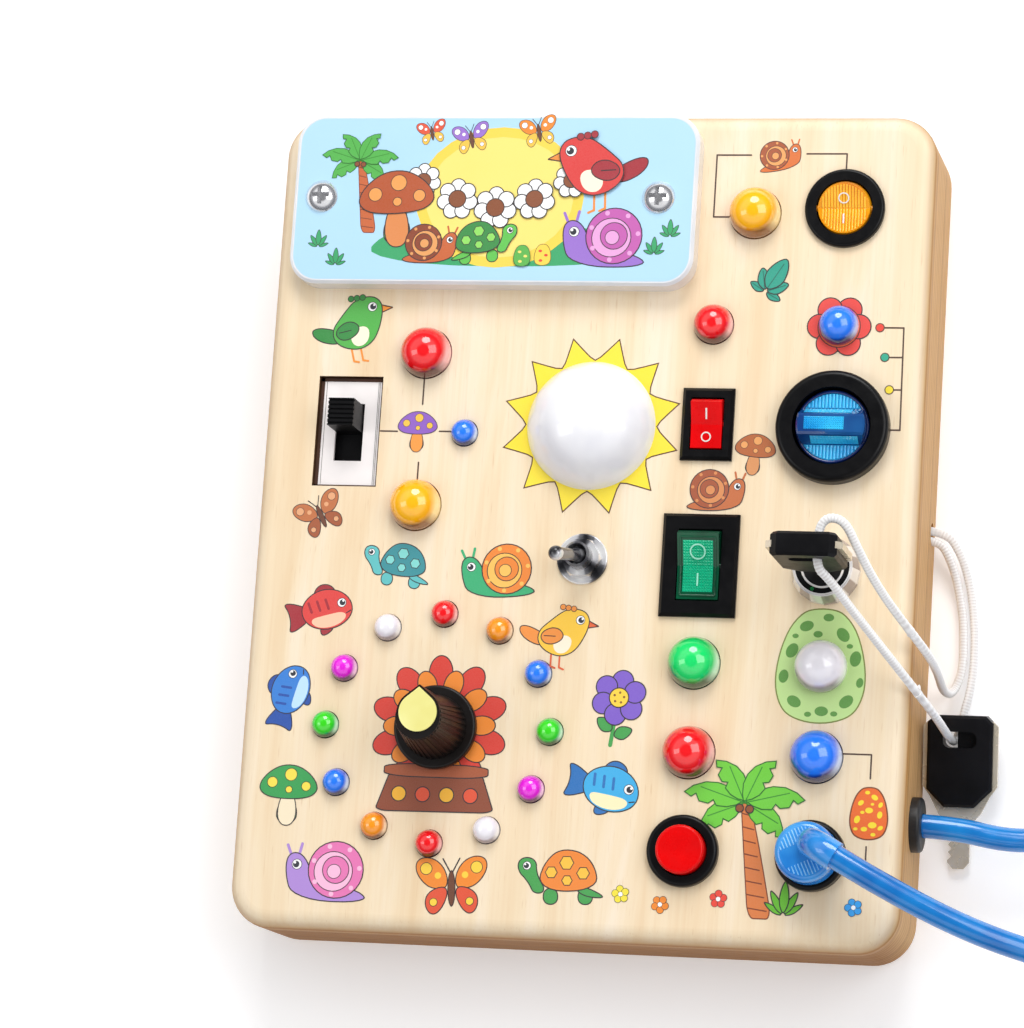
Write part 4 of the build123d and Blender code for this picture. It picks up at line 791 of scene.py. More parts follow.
def band(radius, width, rise, segments=40):
    """A flat ring."""
    patch = circle(radius, segments)
    rim = bmesh.ops.inset_region(patch, faces=patch.faces[:], thickness=width, use_boundary=True)["faces"]
    bmesh.ops.delete(patch, geom=[face for face in patch.faces if face not in rim], context="FACES")
    return lift(patch, rise)


def block(size, edge=0):
    """A block centred on nothing, with its edges rounded where asked."""
    part = bmesh.new()
    bmesh.ops.create_cube(part, size=1)
    bmesh.ops.scale(part, vec=size, verts=part.verts)
    if edge:
        round_off(part, part.edges[:], edge)
    return part


def prisms(width, length, pitch, rise):
    """A field of small pyramids, as moulded inside a clear rocker."""
    field = bmesh.new()
    columns, rows = round(width / pitch), round(length / pitch)
    bmesh.ops.create_grid(field, x_segments=columns, y_segments=rows, size=0.5)
    bmesh.ops.scale(field, vec=(width, length, 1), verts=field.verts)
    bmesh.ops.poke(field, faces=field.faces[:], offset=rise)
    return field


def ribs(place, radius, start, pitch, width, rise):
    """Upright ribs side by side, from a line out to a circle, with their places."""
    count = int(radius / pitch)
    for index in range(-count, count + 1):
        x = index * pitch
        end = math.sqrt(max(radius ** 2 - x ** 2, 0))
        if end - start > width:
            rib = block((width, end - start, rise), width * 0.3)
            yield rib, place @ spot(x, (start + end) / 2, rise / 2)


def rocker_halves(housing):
    """The planes of a rocker's upper and lower half, from the crease outwards."""
    x, y = middle(housing)[:2]
    crease = spot(x, y, FACE + ROCKER_PIVOT, ROCKER_TILT, "X") @ spot(0, 0, ROCKER_RISE)
    return [crease @ spot(0, 0, 0, side * ROCKER_SLOPE, "X") for side in (1, -1)]


def rocker_marks(name, ring_half, ring_y, bar_half, bar_y, ring, bar, lifted=0, finish="legend_white"):
    """The generic ring and bar of an on and off switch."""
    add_piece(name + "_marks", name + "_paddle", finish, (
        (band(*ring, MARK_RISE), ring_half @ spot(0, ring_y, lifted)),
        (block((*bar, MARK_RISE), 0.05), bar_half @ spot(0, bar_y, lifted + MARK_RISE / 2)),
    ))


def dress_rockers():
    """The marks of the three rockers, the ribbed amber disc and the prismatic green window."""
    upper, lower = rocker_halves("red_rocker_housing")
    rocker_marks("red", lower, -3.5, upper, 3.2, (1.45, 0.36), (0.5, 3.2))

    upper, lower = rocker_halves("green_rocker_housing")
    window, edge = [], []
    for plane, side in ((upper, 1), (lower, -1)):
        window.append((prisms(8.6, 7.4, 0.78, 0.3), plane @ spot(0, side * 3.7, 0.06)))
        for x in (-5, 5):
            edge.append((block((0.45, 8.3, 0.4), 0.12), plane @ spot(x, side * 4.2, 0.2)))
        edge.append((block((10, 0.45, 0.4), 0.12), plane @ spot(0, side * 8.4, 0.2)))
    add_piece("green_window", "green_paddle", "green_prisms", window)
    add_piece("green_window_edge", "green_paddle", "rocker_green", edge)
    rocker_marks("green", upper, 4.2, lower, -3.9, (2.3, 0.42), (0.5, 3.6), 0.34, "legend_mint")

    upper, lower = rocker_halves("amber_rocker_housing")
    rows = []
    for plane, turn in ((upper, 0), (lower, 180)):
        rows += ribs(plane @ spot(0, 0, 0, turn), 6.9, 0.1, 0.86, 0.5, 0.26)
    add_piece("amber_ribs", "amber_paddle", "amber_disc", rows)
    rocker_marks("amber", upper, 3, lower, -3, (1.6, 0.36), (0.5, 2.8), 0.26)


def dress_selector():
    """The selector's navy rim, its clear ribs above and below the bar, and the cut window in the bar."""
    x, y = middle("selector_knob")[:2]
    drum_top = FACE + 2.6
    here = spot(x, y, drum_top)
    rim = ((band(10.5, 0.8, 0.55, 64), spot(x, y, drum_top - 0.1)),)
    add_piece("selector_rim", "selector", "selector_rim", rim, True)
    floor = ((button_disc(9.6, 0.1, 64), here),)
    add_piece("selector_fan", "selector", "selector_fan", floor)
    fan = []
    for turn in (0, 180):
        fan += ribs(here @ spot(0, 0, 0, turn), 9.5, 5.35, 0.98, 0.62, 0.5)
    for turn in (0, 180):
        slope = spot(x, y, 0, turn) @ spot(0, 5.3, drum_top, -61.5, "X") @ spot(-1, -2.4, 0.05)
        fan.append((prisms(13.6, 3.4, 0.85, 0.08), slope))
    fan.append((prisms(11.4, 3.7, 0.62, 0.3), spot(x - 1.8, y + 0.2, top("selector_knob") + 0.03)))
    add_piece("selector_ribs", "selector", "selector_glint", fan)


FLUTES = 34
POINTER_ARC = 48      # how far to each side of the pointer there are no flutes, in degrees


def dress_knob():
    """The flutes of the knob's cone, all round but for the pointer's ridge."""
    x, y = middle("rotary_knob")[:2]
    foot_radius, head_radius = 9.2, 6.4
    foot, head = FACE + 3.6, top("rotary_knob") - 0.6
    lean = math.atan((foot_radius - head_radius) / (head - foot))
    length = (head - foot) / math.cos(lean)
    flutes = []
    for index in range(FLUTES):
        turn = 90 + index * 360 / FLUTES
        if abs((turn - 90 + 180) % 360 - 180) < POINTER_ARC:
            continue
        place = spot(x, y, 0, turn) @ spot((foot_radius + head_radius) / 2 + 0.02, 0, (foot + head) / 2)
        flutes.append((block((0.5, 0.86, length), 0.16), place @ Matrix.Rotation(-lean, 4, "Y")))
    add_piece("knob_flutes", "knob", "knob_dark", flutes)


def dress_lock():
    """The lock's black face with a bright inner ring, and two coloured dots for its positions."""
    x, y = middle("key_lock_housing")[:2]
    level = top("key_lock_housing")
    for name, finish, part, turn, away in (
        ("face", "black_gloss", band(7.7, 1.5, 0.12, 48), 0, (0, 0)),
        ("ring", "lock_chrome", band(8.1, 0.4, 0.3, 48), 0, (0, 0)),
        ("dot_red", "dot_red", button_disc(0.55, 0.12, 16), 22, (6.9, 0, 0.12)),
        ("dot_green", "dot_green", button_disc(0.55, 0.12, 16), -112, (6.9, 0, 0.12)),
    ):
        parts = ((part, spot(x, y, level, turn) @ spot(*away)),)
        add_piece("lock_" + name, "case", finish, parts)


def dress_plug():
    """The fine ridges on the two free sides of the clear plug's head."""
    x, y = middle("plug_socket")[:2]
    ridges = []
    for turn in (205, 25):
        ridges += ribs(spot(x, y, PLUG_TOP, turn), 6.8, 2.6, 0.95, 0.36, 0.16)
    add_piece("plug_ridges", "plug", "clear_ridge", ridges)


def dress_spare_key():
    """A dark web that closes most of the spare key's slot beside the cord, as painted shade inside the slot.
    """
    web = ((block((5.7, 4.7, 1.2), 0.1), spot(middle("spare_key_bow")[0] + 1.95, -55.36, 7.55, 10, "X")),)
    add_piece("spare_key_slot_shade", "case", "key_black", web)


def dress_slide_switch():
    """Strips on the plate that stand for the slide switch recess's browned wall, partly burnt wood and
    partly painted shade, wider at left and top; and lines of painted shade along the folds of its metal
    frame.
    """
    low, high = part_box("slide_switch_frame")
    left, bottom, _ = (value / MM for value in low)
    right, head, level = (value / MM for value in high)
    edge = []
    # The recess wall as dark strips on the plate: partly burnt wood, partly painted shade.
    for start, end in (
        ((left, bottom), (left + 1, head)), ((left, head - 1), (right, head)),
        ((right - 0.35, bottom), (right, head)), ((left, bottom), (right, bottom + 0.35)),
    ):
        strip = block((end[0] - start[0], end[1] - start[1], 0.16))
        edge.append((strip, spot((start[0] + end[0]) / 2, (start[1] + end[1]) / 2, level + 0.08)))
    add_piece("recess_wall_and_shade", "case", "burnt_edge", edge)
    # Lines of painted shade along the folds of the frame.
    folds = [
        (block((0.16, head - bottom - 1.6, 0.06)), spot(x, (head + bottom) / 2 - 0.3, level + 0.03))
        for x in (left + 1.7, right - 1.3, right - 0.9)
    ]
    add_piece("frame_fold_shade", "case", "fold_shadow", folds)


# ---------------------------------------------------------------- printing
PRINT_LIFT = 0.05     # first printed layer above its board, in mm
PRINT_STEP = 0.012    # each further layer
OUTLINE = 0.32
BROWN_LINE = "5A3214"
DARK_LINE = "2A2226"


class Sheet:
    """A flat print made of patches of colour with dark outlines, each a hair above the last."""

    def __init__(self, name, level, up=1):
        self.name = name
        self.level = level
        self.up = up
        self.edge = DARK_LINE
        self.shape = bmesh.new()
        self.shape.loops.layers.float_color.new("ink")
        self.pressed = []
        self.move(0, 0)

    def move(self, x, y, size=1, turn=0, mirror=False):
        """Where the next motif goes; a motif is drawn round (0, 0) and reaches about 10 mm each way."""
        self.place = spot(x, y, 0, turn) @ Matrix.Diagonal((-size if mirror else size, size, 1, 1))
        self.size = size

    def draw(self, motifs):
        """Draws motifs, each at its place and with what it needs to know."""
        for motif, place, choices in motifs:
            self.move(*place)
            motif(self, *choices)

    def next_layer(self, patch):
        """The first layer above every patch that this one may lie on."""
        low, high = (
            [pick(vertex.co[axis] for vertex in patch.verts) for axis in (0, 1)] for pick in (min, max)
        )
        under = [
            layer for layer, start, end in self.pressed
            if all(start[axis] < high[axis] and end[axis] > low[axis] for axis in (0, 1))
        ]
        layer = max(under, default=-1) + 1
        self.pressed.append((layer, low, high))
        return layer

    def press(self, patch, colour, line):
        """Puts one flat patch on the sheet; an outlined one is a dark patch with a smaller one on it."""
        bmesh.ops.transform(patch, matrix=self.place, verts=patch.verts)
        patch.normal_update()
        wrong = [face for face in patch.faces if face.normal.z * self.up < 0]
        bmesh.ops.reverse_faces(patch, faces=wrong)
        if line:
            self.lay(patch.copy(), self.edge)
            rim = bmesh.ops.inset_region(
                patch, faces=patch.faces[:], thickness=line * min(1, self.size), use_even_offset=True,
                use_boundary=True,
            )["faces"]
            bmesh.ops.delete(patch, geom=rim, context="FACES")
        self.lay(patch, colour)

    def lay(self, patch, colour):
        """Lays a patch of one colour above what is there."""
        height = self.level + self.up * (PRINT_LIFT + PRINT_STEP * self.next_layer(patch))
        layer = patch.loops.layers.float_color.new("ink")
        for face in patch.faces:
            for corner in face.loops:
                corner[layer] = ink(colour)
        join(self.shape, patch, spot(0, 0, height))

    def blob(self, points, colour, line=OUTLINE, soft=46, kind="PERCENT", segments=6):
        """A patch through a few corner points; soft is how far its corners are rounded."""
        patch = bmesh.new()
        patch.faces.new([patch.verts.new((x, y, 0)) for x, y in points])
        if soft:
            round_off(patch, patch.verts[:], soft, kind, segments, "VERTICES")
        self.press(patch, colour, line)

    def disc(self, x, y, radius, colour, line=OUTLINE, tall=1, turn=0, segments=28):
        """A round or oval patch."""
        patch = circle(radius, segments)
        placed = spot(x, y, 0, turn) @ Matrix.Diagonal((1, tall, 1, 1))
        bmesh.ops.transform(patch, matrix=placed, verts=patch.verts)
        self.press(patch, colour, line)

    def stroke(self, points, width, colour=None):
        """A line of even width along straight runs, with round ends."""
        colour = colour or self.edge
        for start, end in zip(points, points[1:]):
            run = Vector(end) - Vector(start)
            side = Vector((-run.y, run.x)).normalized() * width / 2
            ends = ((start, 1), (start, -1), (end, -1), (end, 1))
            self.blob([Vector(place) + side * way for place, way in ends], colour, 0, 0)
            self.disc(*end, width / 2, colour, 0, segments=12)
        self.disc(*points[0], width / 2, colour, 0, segments=12)

    def eye(self, x, y, radius=1.3):
        """A round eye with a light in it."""
        self.disc(x, y, radius, "FFFFFF", 0.18)
        self.disc(x + radius * 0.15, y, radius * 0.62, "1F2430", 0)
        self.disc(x + radius * 0.4, y + radius * 0.3, radius * 0.24, "FFFFFF", 0, segments=10)

    def finish(self):
        """The sheet as a piece that goes with the case."""
        finish_piece(self.name, self.shape, "case", "printed_ink")


def ring_of(count, radius, start=90):
    """Places evenly round a circle, with the angle of each."""
    for index in range(count):
        angle = start + index * 360 / count
        yield radius * math.cos(math.radians(angle)), radius * math.sin(math.radians(angle)), angle


def petals(sheet, count, away, radius, colour, x=0, y=0, start=90, **look):
    """Discs evenly round a place."""
    for petal_x, petal_y, _ in ring_of(count, away, start):
        sheet.disc(x + petal_x, y + petal_y, radius, colour, **look)


def mirrored(points):
    """The points with left and right changed."""
    return [(-x, y) for x, y in points]


def leaf(sheet, x, y, length, turn, colour, vein=None, width=0.34):
    """A pointed leaf from a place, along a direction, with a vein."""
    root = Vector((x, y))
    along = Vector((math.cos(math.radians(turn)), math.sin(math.radians(turn)))) * length
    across = Vector((-along.y, along.x)) * width
    outline = ((0, 0), (0.35, 1), (0.75, 0.7), (1, 0), (0.75, -0.7), (0.35, -1))
    sheet.blob([root + along * far + across * side for far, side in outline], colour, OUTLINE, 40)
    if vein:
        sheet.stroke([root + along * 0.12, root + along * 0.8], 0.28, vein)


def tuft(sheet, blades, colour, vein, width, x=0, y=0):
    """Leaves from one root; a blade is its direction and its length."""
    for turn, length in blades:
        leaf(sheet, x, y, length, turn, colour, vein, width)


def butterfly(sheet, wing, lower, dots):
    """A butterfly with four spotted wings."""
    for flip in (list, mirrored):
        sheet.blob(flip([(0.4, 0.5), (2.5, 7.5), (8.5, 10), (12, 7), (9, 1), (4, -1)]), wing)
        sheet.blob(flip([(0.4, 0.4), (6, 0), (9, -4), (6.5, -9), (2.5, -6.5)]), lower)
    for side in (-1, 1):
        for x, y, radius, line in ((7.8, 5.8, 1.9, 0.2), (4.2, 3.6, 1, 0), (5.6, -4.4, 1.3, 0.2)):
            sheet.disc(side * x, y, radius, dots, line)
        sheet.stroke([(side * 0.4, 4.6), (side * 2.6, 8.6)], 0.4)
    sheet.disc(0, -0.4, 1.25, "6B3A20", 0.25, 4.4)


def fish(sheet, body, belly, fin):
    """A round fish with fins, stripes and a pale belly."""
    sheet.blob([(-1, 0.4), (-13.4, 6.8), (-10.6, 0.4), (-12.9, -6.1)], fin)
    sheet.blob([(-3.5, 3.6), (-1, 9.2), (4.6, 8), (4.8, 3.4)], fin)
    sheet.blob([(-2, -3.6), (-2.4, -8.2), (2.6, -6.4), (2, -3.6)], fin)
    sheet.blob([(-8.5, 0.4), (-4, 6.8), (5, 7.2), (10.6, 0.8), (7, -5.6), (-3, -6.2)], body)
    sheet.blob([(-5.4, -1.6), (0, -1.2), (7.6, -1.2), (5.6, -5), (-2.4, -5.4)], belly, 0)
    for x in (-4.4, -1.6, 1.2):
        sheet.stroke([(x, 3.6), (x + 0.5, 0.6)], 0.8, fin)
    sheet.eye(6.2, 1.6, 1.5)
    sheet.stroke([(8.6, -1.4), (7.2, -1.9)], 0.35)


def snail(sheet, body, shell, swirl):
    """A snail with a swirled shell."""
    sheet.stroke([(7.4, 3), (6.6, 6.6)], 0.7, body)
    sheet.stroke([(8.8, 3), (10.2, 6.2)], 0.7, body)
    sheet.blob([(-12, -7.2), (-7, -3.2), (3, -4), (5, 3.8), (9.8, 5), (10.8, 0), (8.2, -7.2)], body)
    for x, y, radius, colour, line in (
        (-2.2, 0.6, 7, shell, OUTLINE), (-1.6, 0.2, 4.9, swirl, 0.25), (-2.2, 0.6, 3.4, shell, 0.25),
        (-1.8, 0.2, 1.8, swirl, 0.2),
    ):
        sheet.disc(x, y, radius, colour, line)
    petals(sheet, 7, 5.9, 0.6, swirl, -2.2, 0.6, 20, line=0, segments=10)
    sheet.eye(7.6, 1.6)


def bird(sheet, body, wing, beak):
    """A round bird on two thin legs."""
    for x in (-0.8, 2):
        sheet.stroke([(x, -6.4), (x + 0.5, -10.2), (x + 2, -10.6)], 0.6, beak)
    sheet.blob([(-2.6, -0.6), (-12.9, 2.3), (-12.3, -2.6), (-3.6, -5.2)], wing)
    sheet.blob([(8.6, 6.4), (13.2, 4.8), (8.8, 3.4)], beak, OUTLINE, 20)
    sheet.blob([(-7.4, -1), (-3, 4.6), (2.2, 9.6), (9.6, 8.6), (9.4, 1), (5, -7), (-3.6, -6.4)], body)
    sheet.blob([(-1, -0.4), (5.2, 0.6), (4.6, -5.4), (-0.4, -6)], "FFF2D8", 0)
    sheet.blob([(-6.6, -0.8), (-1, 3.2), (3.4, -0.6), (-2.6, -4.6)], wing)
    sheet.stroke([(-4.2, -1), (-0.6, -0.6)], 0.3)
    for x in (0, 1.8, 3.6):
        sheet.disc(x, 9, 1, wing, 0.2)
    sheet.eye(6.4, 5.8, 1.5)


def tortoise(sheet, skin, shell, plates):
    """A tortoise seen from the side, with plates on its shell."""
    for x in (-6, 3.6):
        sheet.blob([(x - 2, -2.6), (x - 2.2, -7.2), (x + 2.2, -7.2), (x + 2.2, -2.6)], skin)
    sheet.blob([(-3, -0.8), (-13.6, -5.6), (-4, -5)], skin)
    sheet.blob([(4.5, -3.6), (7.6, 1), (7.6, 5.4), (12.4, 6), (13.4, 2.2), (10, -1), (8.4, -4.6)], skin)
    sheet.blob([(-9.6, -3.6), (-8.6, 4.4), (-2, 8.6), (5, 6.4), (8.2, -3.6)], shell)
    for x, y, radius in ((-5.2, 1.4, 1.9), (-0.6, 4.2, 2.1), (3.6, 1.6, 1.8), (-0.8, -0.6, 1.6)):
        sheet.disc(x, y, radius, plates, 0.25, 1, 30, 6)
    sheet.eye(10.4, 3.4, 1.2)


def mushroom(sheet, cap, dots, stalk="F7E7C6"):
    """A toadstool with a spotted cap and two blades of grass."""
    tuft(sheet, ((74, 8), (106, 8)), "58B348", None, 0.34, 0, -9.4)
    sheet.blob([(-2.6, 1.6), (-3.6, -9.4), (3.6, -9.4), (2.6, 1.6)], stalk)
    sheet.blob([(-10.4, 0.4), (-8.6, 7), (0, 11.4), (8.6, 7), (10.4, 0.4), (0, -1.4)], cap)
    for x, y, radius in ((-5.4, 4.4, 1.8), (0.6, 7, 2.1), (5.8, 3.4, 1.6), (0.2, 2.2, 1.2)):
        sheet.disc(x, y, radius, dots, 0.2)


def blossom(sheet, petal, heart, stem):
    """A flower with round petals on a leafy stem."""
    sheet.stroke([(0, 0), (0.6, -11)], 1.1, stem)
    leaf(sheet, 0.5, -8.6, 6.2, 30, stem)
    leaf(sheet, 0.5, -7.4, 6.2, 150, stem)
    petals(sheet, 6, 4.6, 3.1, petal, 0, 2)
    sheet.disc(0, 2, 2.8, heart)
    petals(sheet, 5, 1.4, 0.35, "8A5A18", 0, 2, line=0, segments=8)


def small_flower(sheet, colour):
    """Five petals round a white heart."""
    petals(sheet, 5, 3.6, 2.6, colour)
    sheet.disc(0, 0, 1.7, "FFFFFF", 0.2)


def potted_flower(sheet):
    """A broad flower in a patterned pot, round the knob."""
    for away, petal, radius, start in ((15.2, "DB3A2A", 5.2, 20), (12.4, "F28A22", 4.2, 2)):
        for x, y, angle in ring_of(10, away, start):
            sheet.disc(x, y + 2.4, radius, petal, OUTLINE, 0.7, angle)
    sheet.blob([(-17.5, -22.6), (-13.6, -11), (13.6, -11), (17.8, -22.2)], "8C4426", OUTLINE, 12)
    sheet.blob([(-15.4, -8.6), (-15.4, -12.6), (15.4, -12.6), (15.4, -8.6)], "A9552E", OUTLINE, 30)
    for x, colour in ((-10.5, "F2B32A"), (-3.5, "E2502C"), (3.5, "F2B32A"), (10.5, "E2502C")):
        sheet.disc(x, -17.4, 2.3, colour)


PALM_RINGS = 8
FROND_OUTLINE = (     # shares of a frond's length, and mm to its upper side
    (0, 0.6), (0.12, 2), (0.3, 3.3), (0.5, 3.6), (0.7, 2.8), (0.88, 0.8), (1, -1.8), (0.86, -2.7),
    (0.8, -1.5), (0.72, -3.3), (0.56, -3.2), (0.5, -1.9), (0.43, -3.2), (0.26, -2.7), (0.12, -1.4),
)


def palm(sheet, trunk, fronds, nut):
    """A palm with a ringed trunk; its crown is at (0, 0) and its foot at (8.5, -33)."""
    sheet.edge = "7A3414"
    sheet.blob([(-1.2, 0), (0.4, -15), (2.4, -33), (9.6, -33), (5.6, -15), (1.8, 0)], trunk, OUTLINE, 24)
    for index in range(PALM_RINGS):
        share = (index + 0.8) / (PALM_RINGS + 0.6)
        left, right = -0.6 + 3.4 * share ** 1.2, 2.2 + 6.4 * share ** 1.3
        sheet.stroke([(left, -33 * share), (right, -33 * share - 0.7)], 0.36)
    sheet.edge = "1F6A1C"
    for turn, length in ((206, 15), (-34, 15), (166, 18), (10, 17.5), (120, 15), (62, 15)):
        droop = -1 if math.cos(math.radians(turn)) < 0 else 1
        spin = Matrix.Rotation(math.radians(turn), 2)
        outline = [spin @ Vector((share * length, y * droop)) for share, y in FROND_OUTLINE]
        sheet.blob(outline, fronds, OUTLINE, 0)
        sheet.stroke([(0, 0), spin @ Vector((length * 0.75, 0.9 * droop))], 0.3, "2E8A22")
    sheet.edge = DARK_LINE
    for x, y in ((-1.4, -1.6), (1.5, -1.8)):
        sheet.disc(x, y, 1.3, nut)


def egg(sheet, wide, tall, shell, dots, edge, places):
    """A spotted egg; a spot is its place as shares of half the width and height, its size and its turn."""
    sheet.edge = edge
    outline = [(0, 1), (0.62, 0.86), (1.02, 0.06), (1, -0.72), (0.5, -1.08)]
    points = [(x * wide / 2, y * tall / 2) for x, y in outline + mirrored(reversed(outline[1:]))]
    sheet.blob(points, shell, OUTLINE * 1.2)
    for x, y, size, turn in places:
        sheet.disc(x * wide / 2, y * tall / 2, size, dots, 0, 0.72, turn)
    sheet.edge = DARK_LINE


RAYS = 12


def sun_rays(sheet):
    """Twelve rays with hollow sides round the large dome."""
    sheet.edge = BROWN_LINE
    points = []
    for index in range(RAYS):
        for share, away in ((0, 26.6), (0.2, 22.6), (0.36, 20.4), (0.5, 19.4), (0.64, 20.4), (0.8, 22.6)):
            angle = math.radians(75 - (index + share) * 360 / RAYS)
            points.append((away * math.cos(angle), away * math.sin(angle)))
    sheet.move(*middle("sun_dome")[:2])
    sheet.blob(points, "FBE232", OUTLINE * 1.1, 0)
    sheet.edge = DARK_LINE


TRACK_WIDTH = 0.46
TRACKS = (
    ((33.4, 89.4), (33.4, 107.8), (43.4, 107.8)), ((33.4, 89.4), (38.2, 89.4)),
    ((59.6, 108.2), (71.2, 108.2), (71.2, 103)), ((90, 57.2), (90.3, 27.6), (87.4, 27.6)),
    ((84, 57.2), (90, 57.2)), ((86, 48.6), (90.1, 48.6)), ((87.6, 39.2), (90.2, 39.2)),
    ((78.8, -64.7), (86.9, -64.7), (86.9, -71.4)), ((86.7, -90.4), (86.7, -94.9), (82, -94.9)),
    ((-61, 24.9), (-56, 24.9)), ((-49, 40.4), (-49, 33)), ((-49, 15.8), (-49, 11)),
    ((-43.4, 25.1), (-38.6, 25.1)),
)


def circuits(sheet):
    """Thin brown lines that join the switches to their lights, with three coloured dots."""
    sheet.edge = "4E3424"
    for run in TRACKS:
        sheet.stroke(run, TRACK_WIDTH)
    for x, y, colour in ((83.2, 57.2, "E8402E"), (85, 48.6, "26A889"), (86.7, 39.2, "F6DC2E")):
        sheet.disc(x, y, 1.35, colour, 0.28)


# motif, its place, size and turn, whether it is mirrored, and its colours
BOARD_MOTIFS = (
    (egg, (71.4, -39.2), (25.4, 32, "C3E594", "5E9A42", "7C8A3A", (
        (-0.66, 0.2, 2.2, 60), (-0.36, 0.64, 2, 20), (0.12, 0.8, 1.5, 0), (0.46, 0.5, 2.2, -50),
        (0.76, 0.08, 2.2, 80), (-0.82, -0.26, 1.9, 80), (-0.56, -0.7, 2.1, -30), (0.06, -0.86, 1.9, 0),
        (0.6, -0.68, 2.2, 40), (0.88, -0.34, 1.4, 80), (-0.1, 0.5, 1.3, 0), (-0.24, -0.92, 1, 0),
        (0.34, -0.9, 1, 0), (-0.6, 0.46, 0.9, 0), (0.62, 0.3, 0.9, 0),
    ))),
    (egg, (87, -80.7), (10.8, 14.6, "EE6A1E", "FBDD24", "7A3A12", (
        (-0.44, 0.34, 0.9, 40), (0.26, 0.56, 1, -30), (0, 0.06, 1.1, 0), (-0.6, -0.3, 1.1, 70),
        (0.56, -0.1, 1, 80), (0.2, -0.5, 1.2, 0), (-0.22, -0.66, 0.9, 0), (-0.12, 0.74, 0.7, 0),
        (0.58, 0.28, 0.8, 60), (-0.34, -0.02, 0.6, 0), (0.62, -0.6, 0.8, 30), (0.16, 0.3, 0.5, 0),
        (-0.66, -0.66, 0.6, 0), (0.26, -0.86, 0.7, 0),
    ))),
    (potted_flower, (-37.4, -63), ()),
    (palm, (52, -79.4, 0.98), ("DB7B3C", "6CCB34", "8C4A22")),
    (tuft, (64.4, -110.6), (((146, 7), (118, 8.4), (32, 7), (60, 8.4), (88, 10.4)), "6CC62C", None, 0.16)),
    (small_flower, (18.2, -106.4, 0.42, 10), ("F4E23A",)),
    (small_flower, (29.6, -108.8, 0.42, 40), ("F28A22",)),
    (small_flower, (46, -106.6, 0.42, 70), ("E8402E",)),
    (small_flower, (84, -107.4, 0.42, 20), ("2EA0EA",)),
    (tuft, (52.4, 72.4), (
        ((-30, 5.6), (146, 5.6), (18, 7.6), (98, 7.6), (58, 12)), "1F9D85", "0D6B5C", 0.28, -2.8, -5,
    )),
    (snail, (51.6, 107.6, 0.62, 10), ("D9702C", "A8532A", "E9A15C")),
    (bird, (-71.6, 55.4, 0.98, 8), ("4FB247", "2E8B3C", "F2912A")),
    (mushroom, (-50, 24.6, 0.62), ("8E5CC2", "F6C445", "F39A3C")),
    (butterfly, (-77, -0.4, 0.66, 28), ("C2703E", "A5552C", "E8A878")),
    (fish, (-74, -28.6, 0.92, 14), ("E0413C", "F9C9A8", "A52430")),
    (tortoise, (-52.4, -14.6, 0.86, -6, True), ("5DBFC0", "2F8F98", "7FD6CF")),
    (snail, (-23, -15.6, 1.06, 4, True), ("2FAE72", "F0872C", "FBC25A")),
    (bird, (-4.6, -33.4, 0.9, -8), ("FBC93A", "F0913A", "E2602C")),
    (fish, (-82, -52.6, 0.88, 74), ("2F7FD6", "BFE3FA", "1C4FA8")),
    (blossom, (14, -53, 1.05, -10), ("7E5CC8", "FBD23C", "3FA04A")),
    (mushroom, (-80.6, -82.4, 0.9), ("2E9E4E", "F6E04A")),
    (fish, (12.4, -77.2, 1, -12), ("35AEE6", "FFF0C0", "1E6FB8")),
    (snail, (-67.4, -103.6, 1.18, 0, True), ("B08AD8", "E875B4", "F9BEDD")),
    (butterfly, (-30.6, -106.4, 0.94, 4), ("F28A22", "E2502C", "FBD23C")),
    (tortoise, (1.8, -102.6, 1.04, 2, True), ("3FA04A", "F0872C", "FBC23A")),
    (mushroom, (49.2, 19.6, 0.62, -6), ("B5622E", "E9A15C", "D9925A")),
    (snail, (38.6, 9.2, 0.82), ("C46A36", "A5502A", "D98A50")),
)


def print_board():
    """The motifs on the wooden face."""
    sheet = Sheet("face_print", FACE)
    circuits(sheet)
    sun_rays(sheet)
    sheet.move(middle("selector_housing")[0], 57.4)
    petals(sheet, 6, 5.6, 3.7, "E8433A", start=60)
    sheet.disc(0, 0, 6.2, "F26A3C", 0.25)
    sheet.draw(BOARD_MOTIFS)
    sheet.finish()


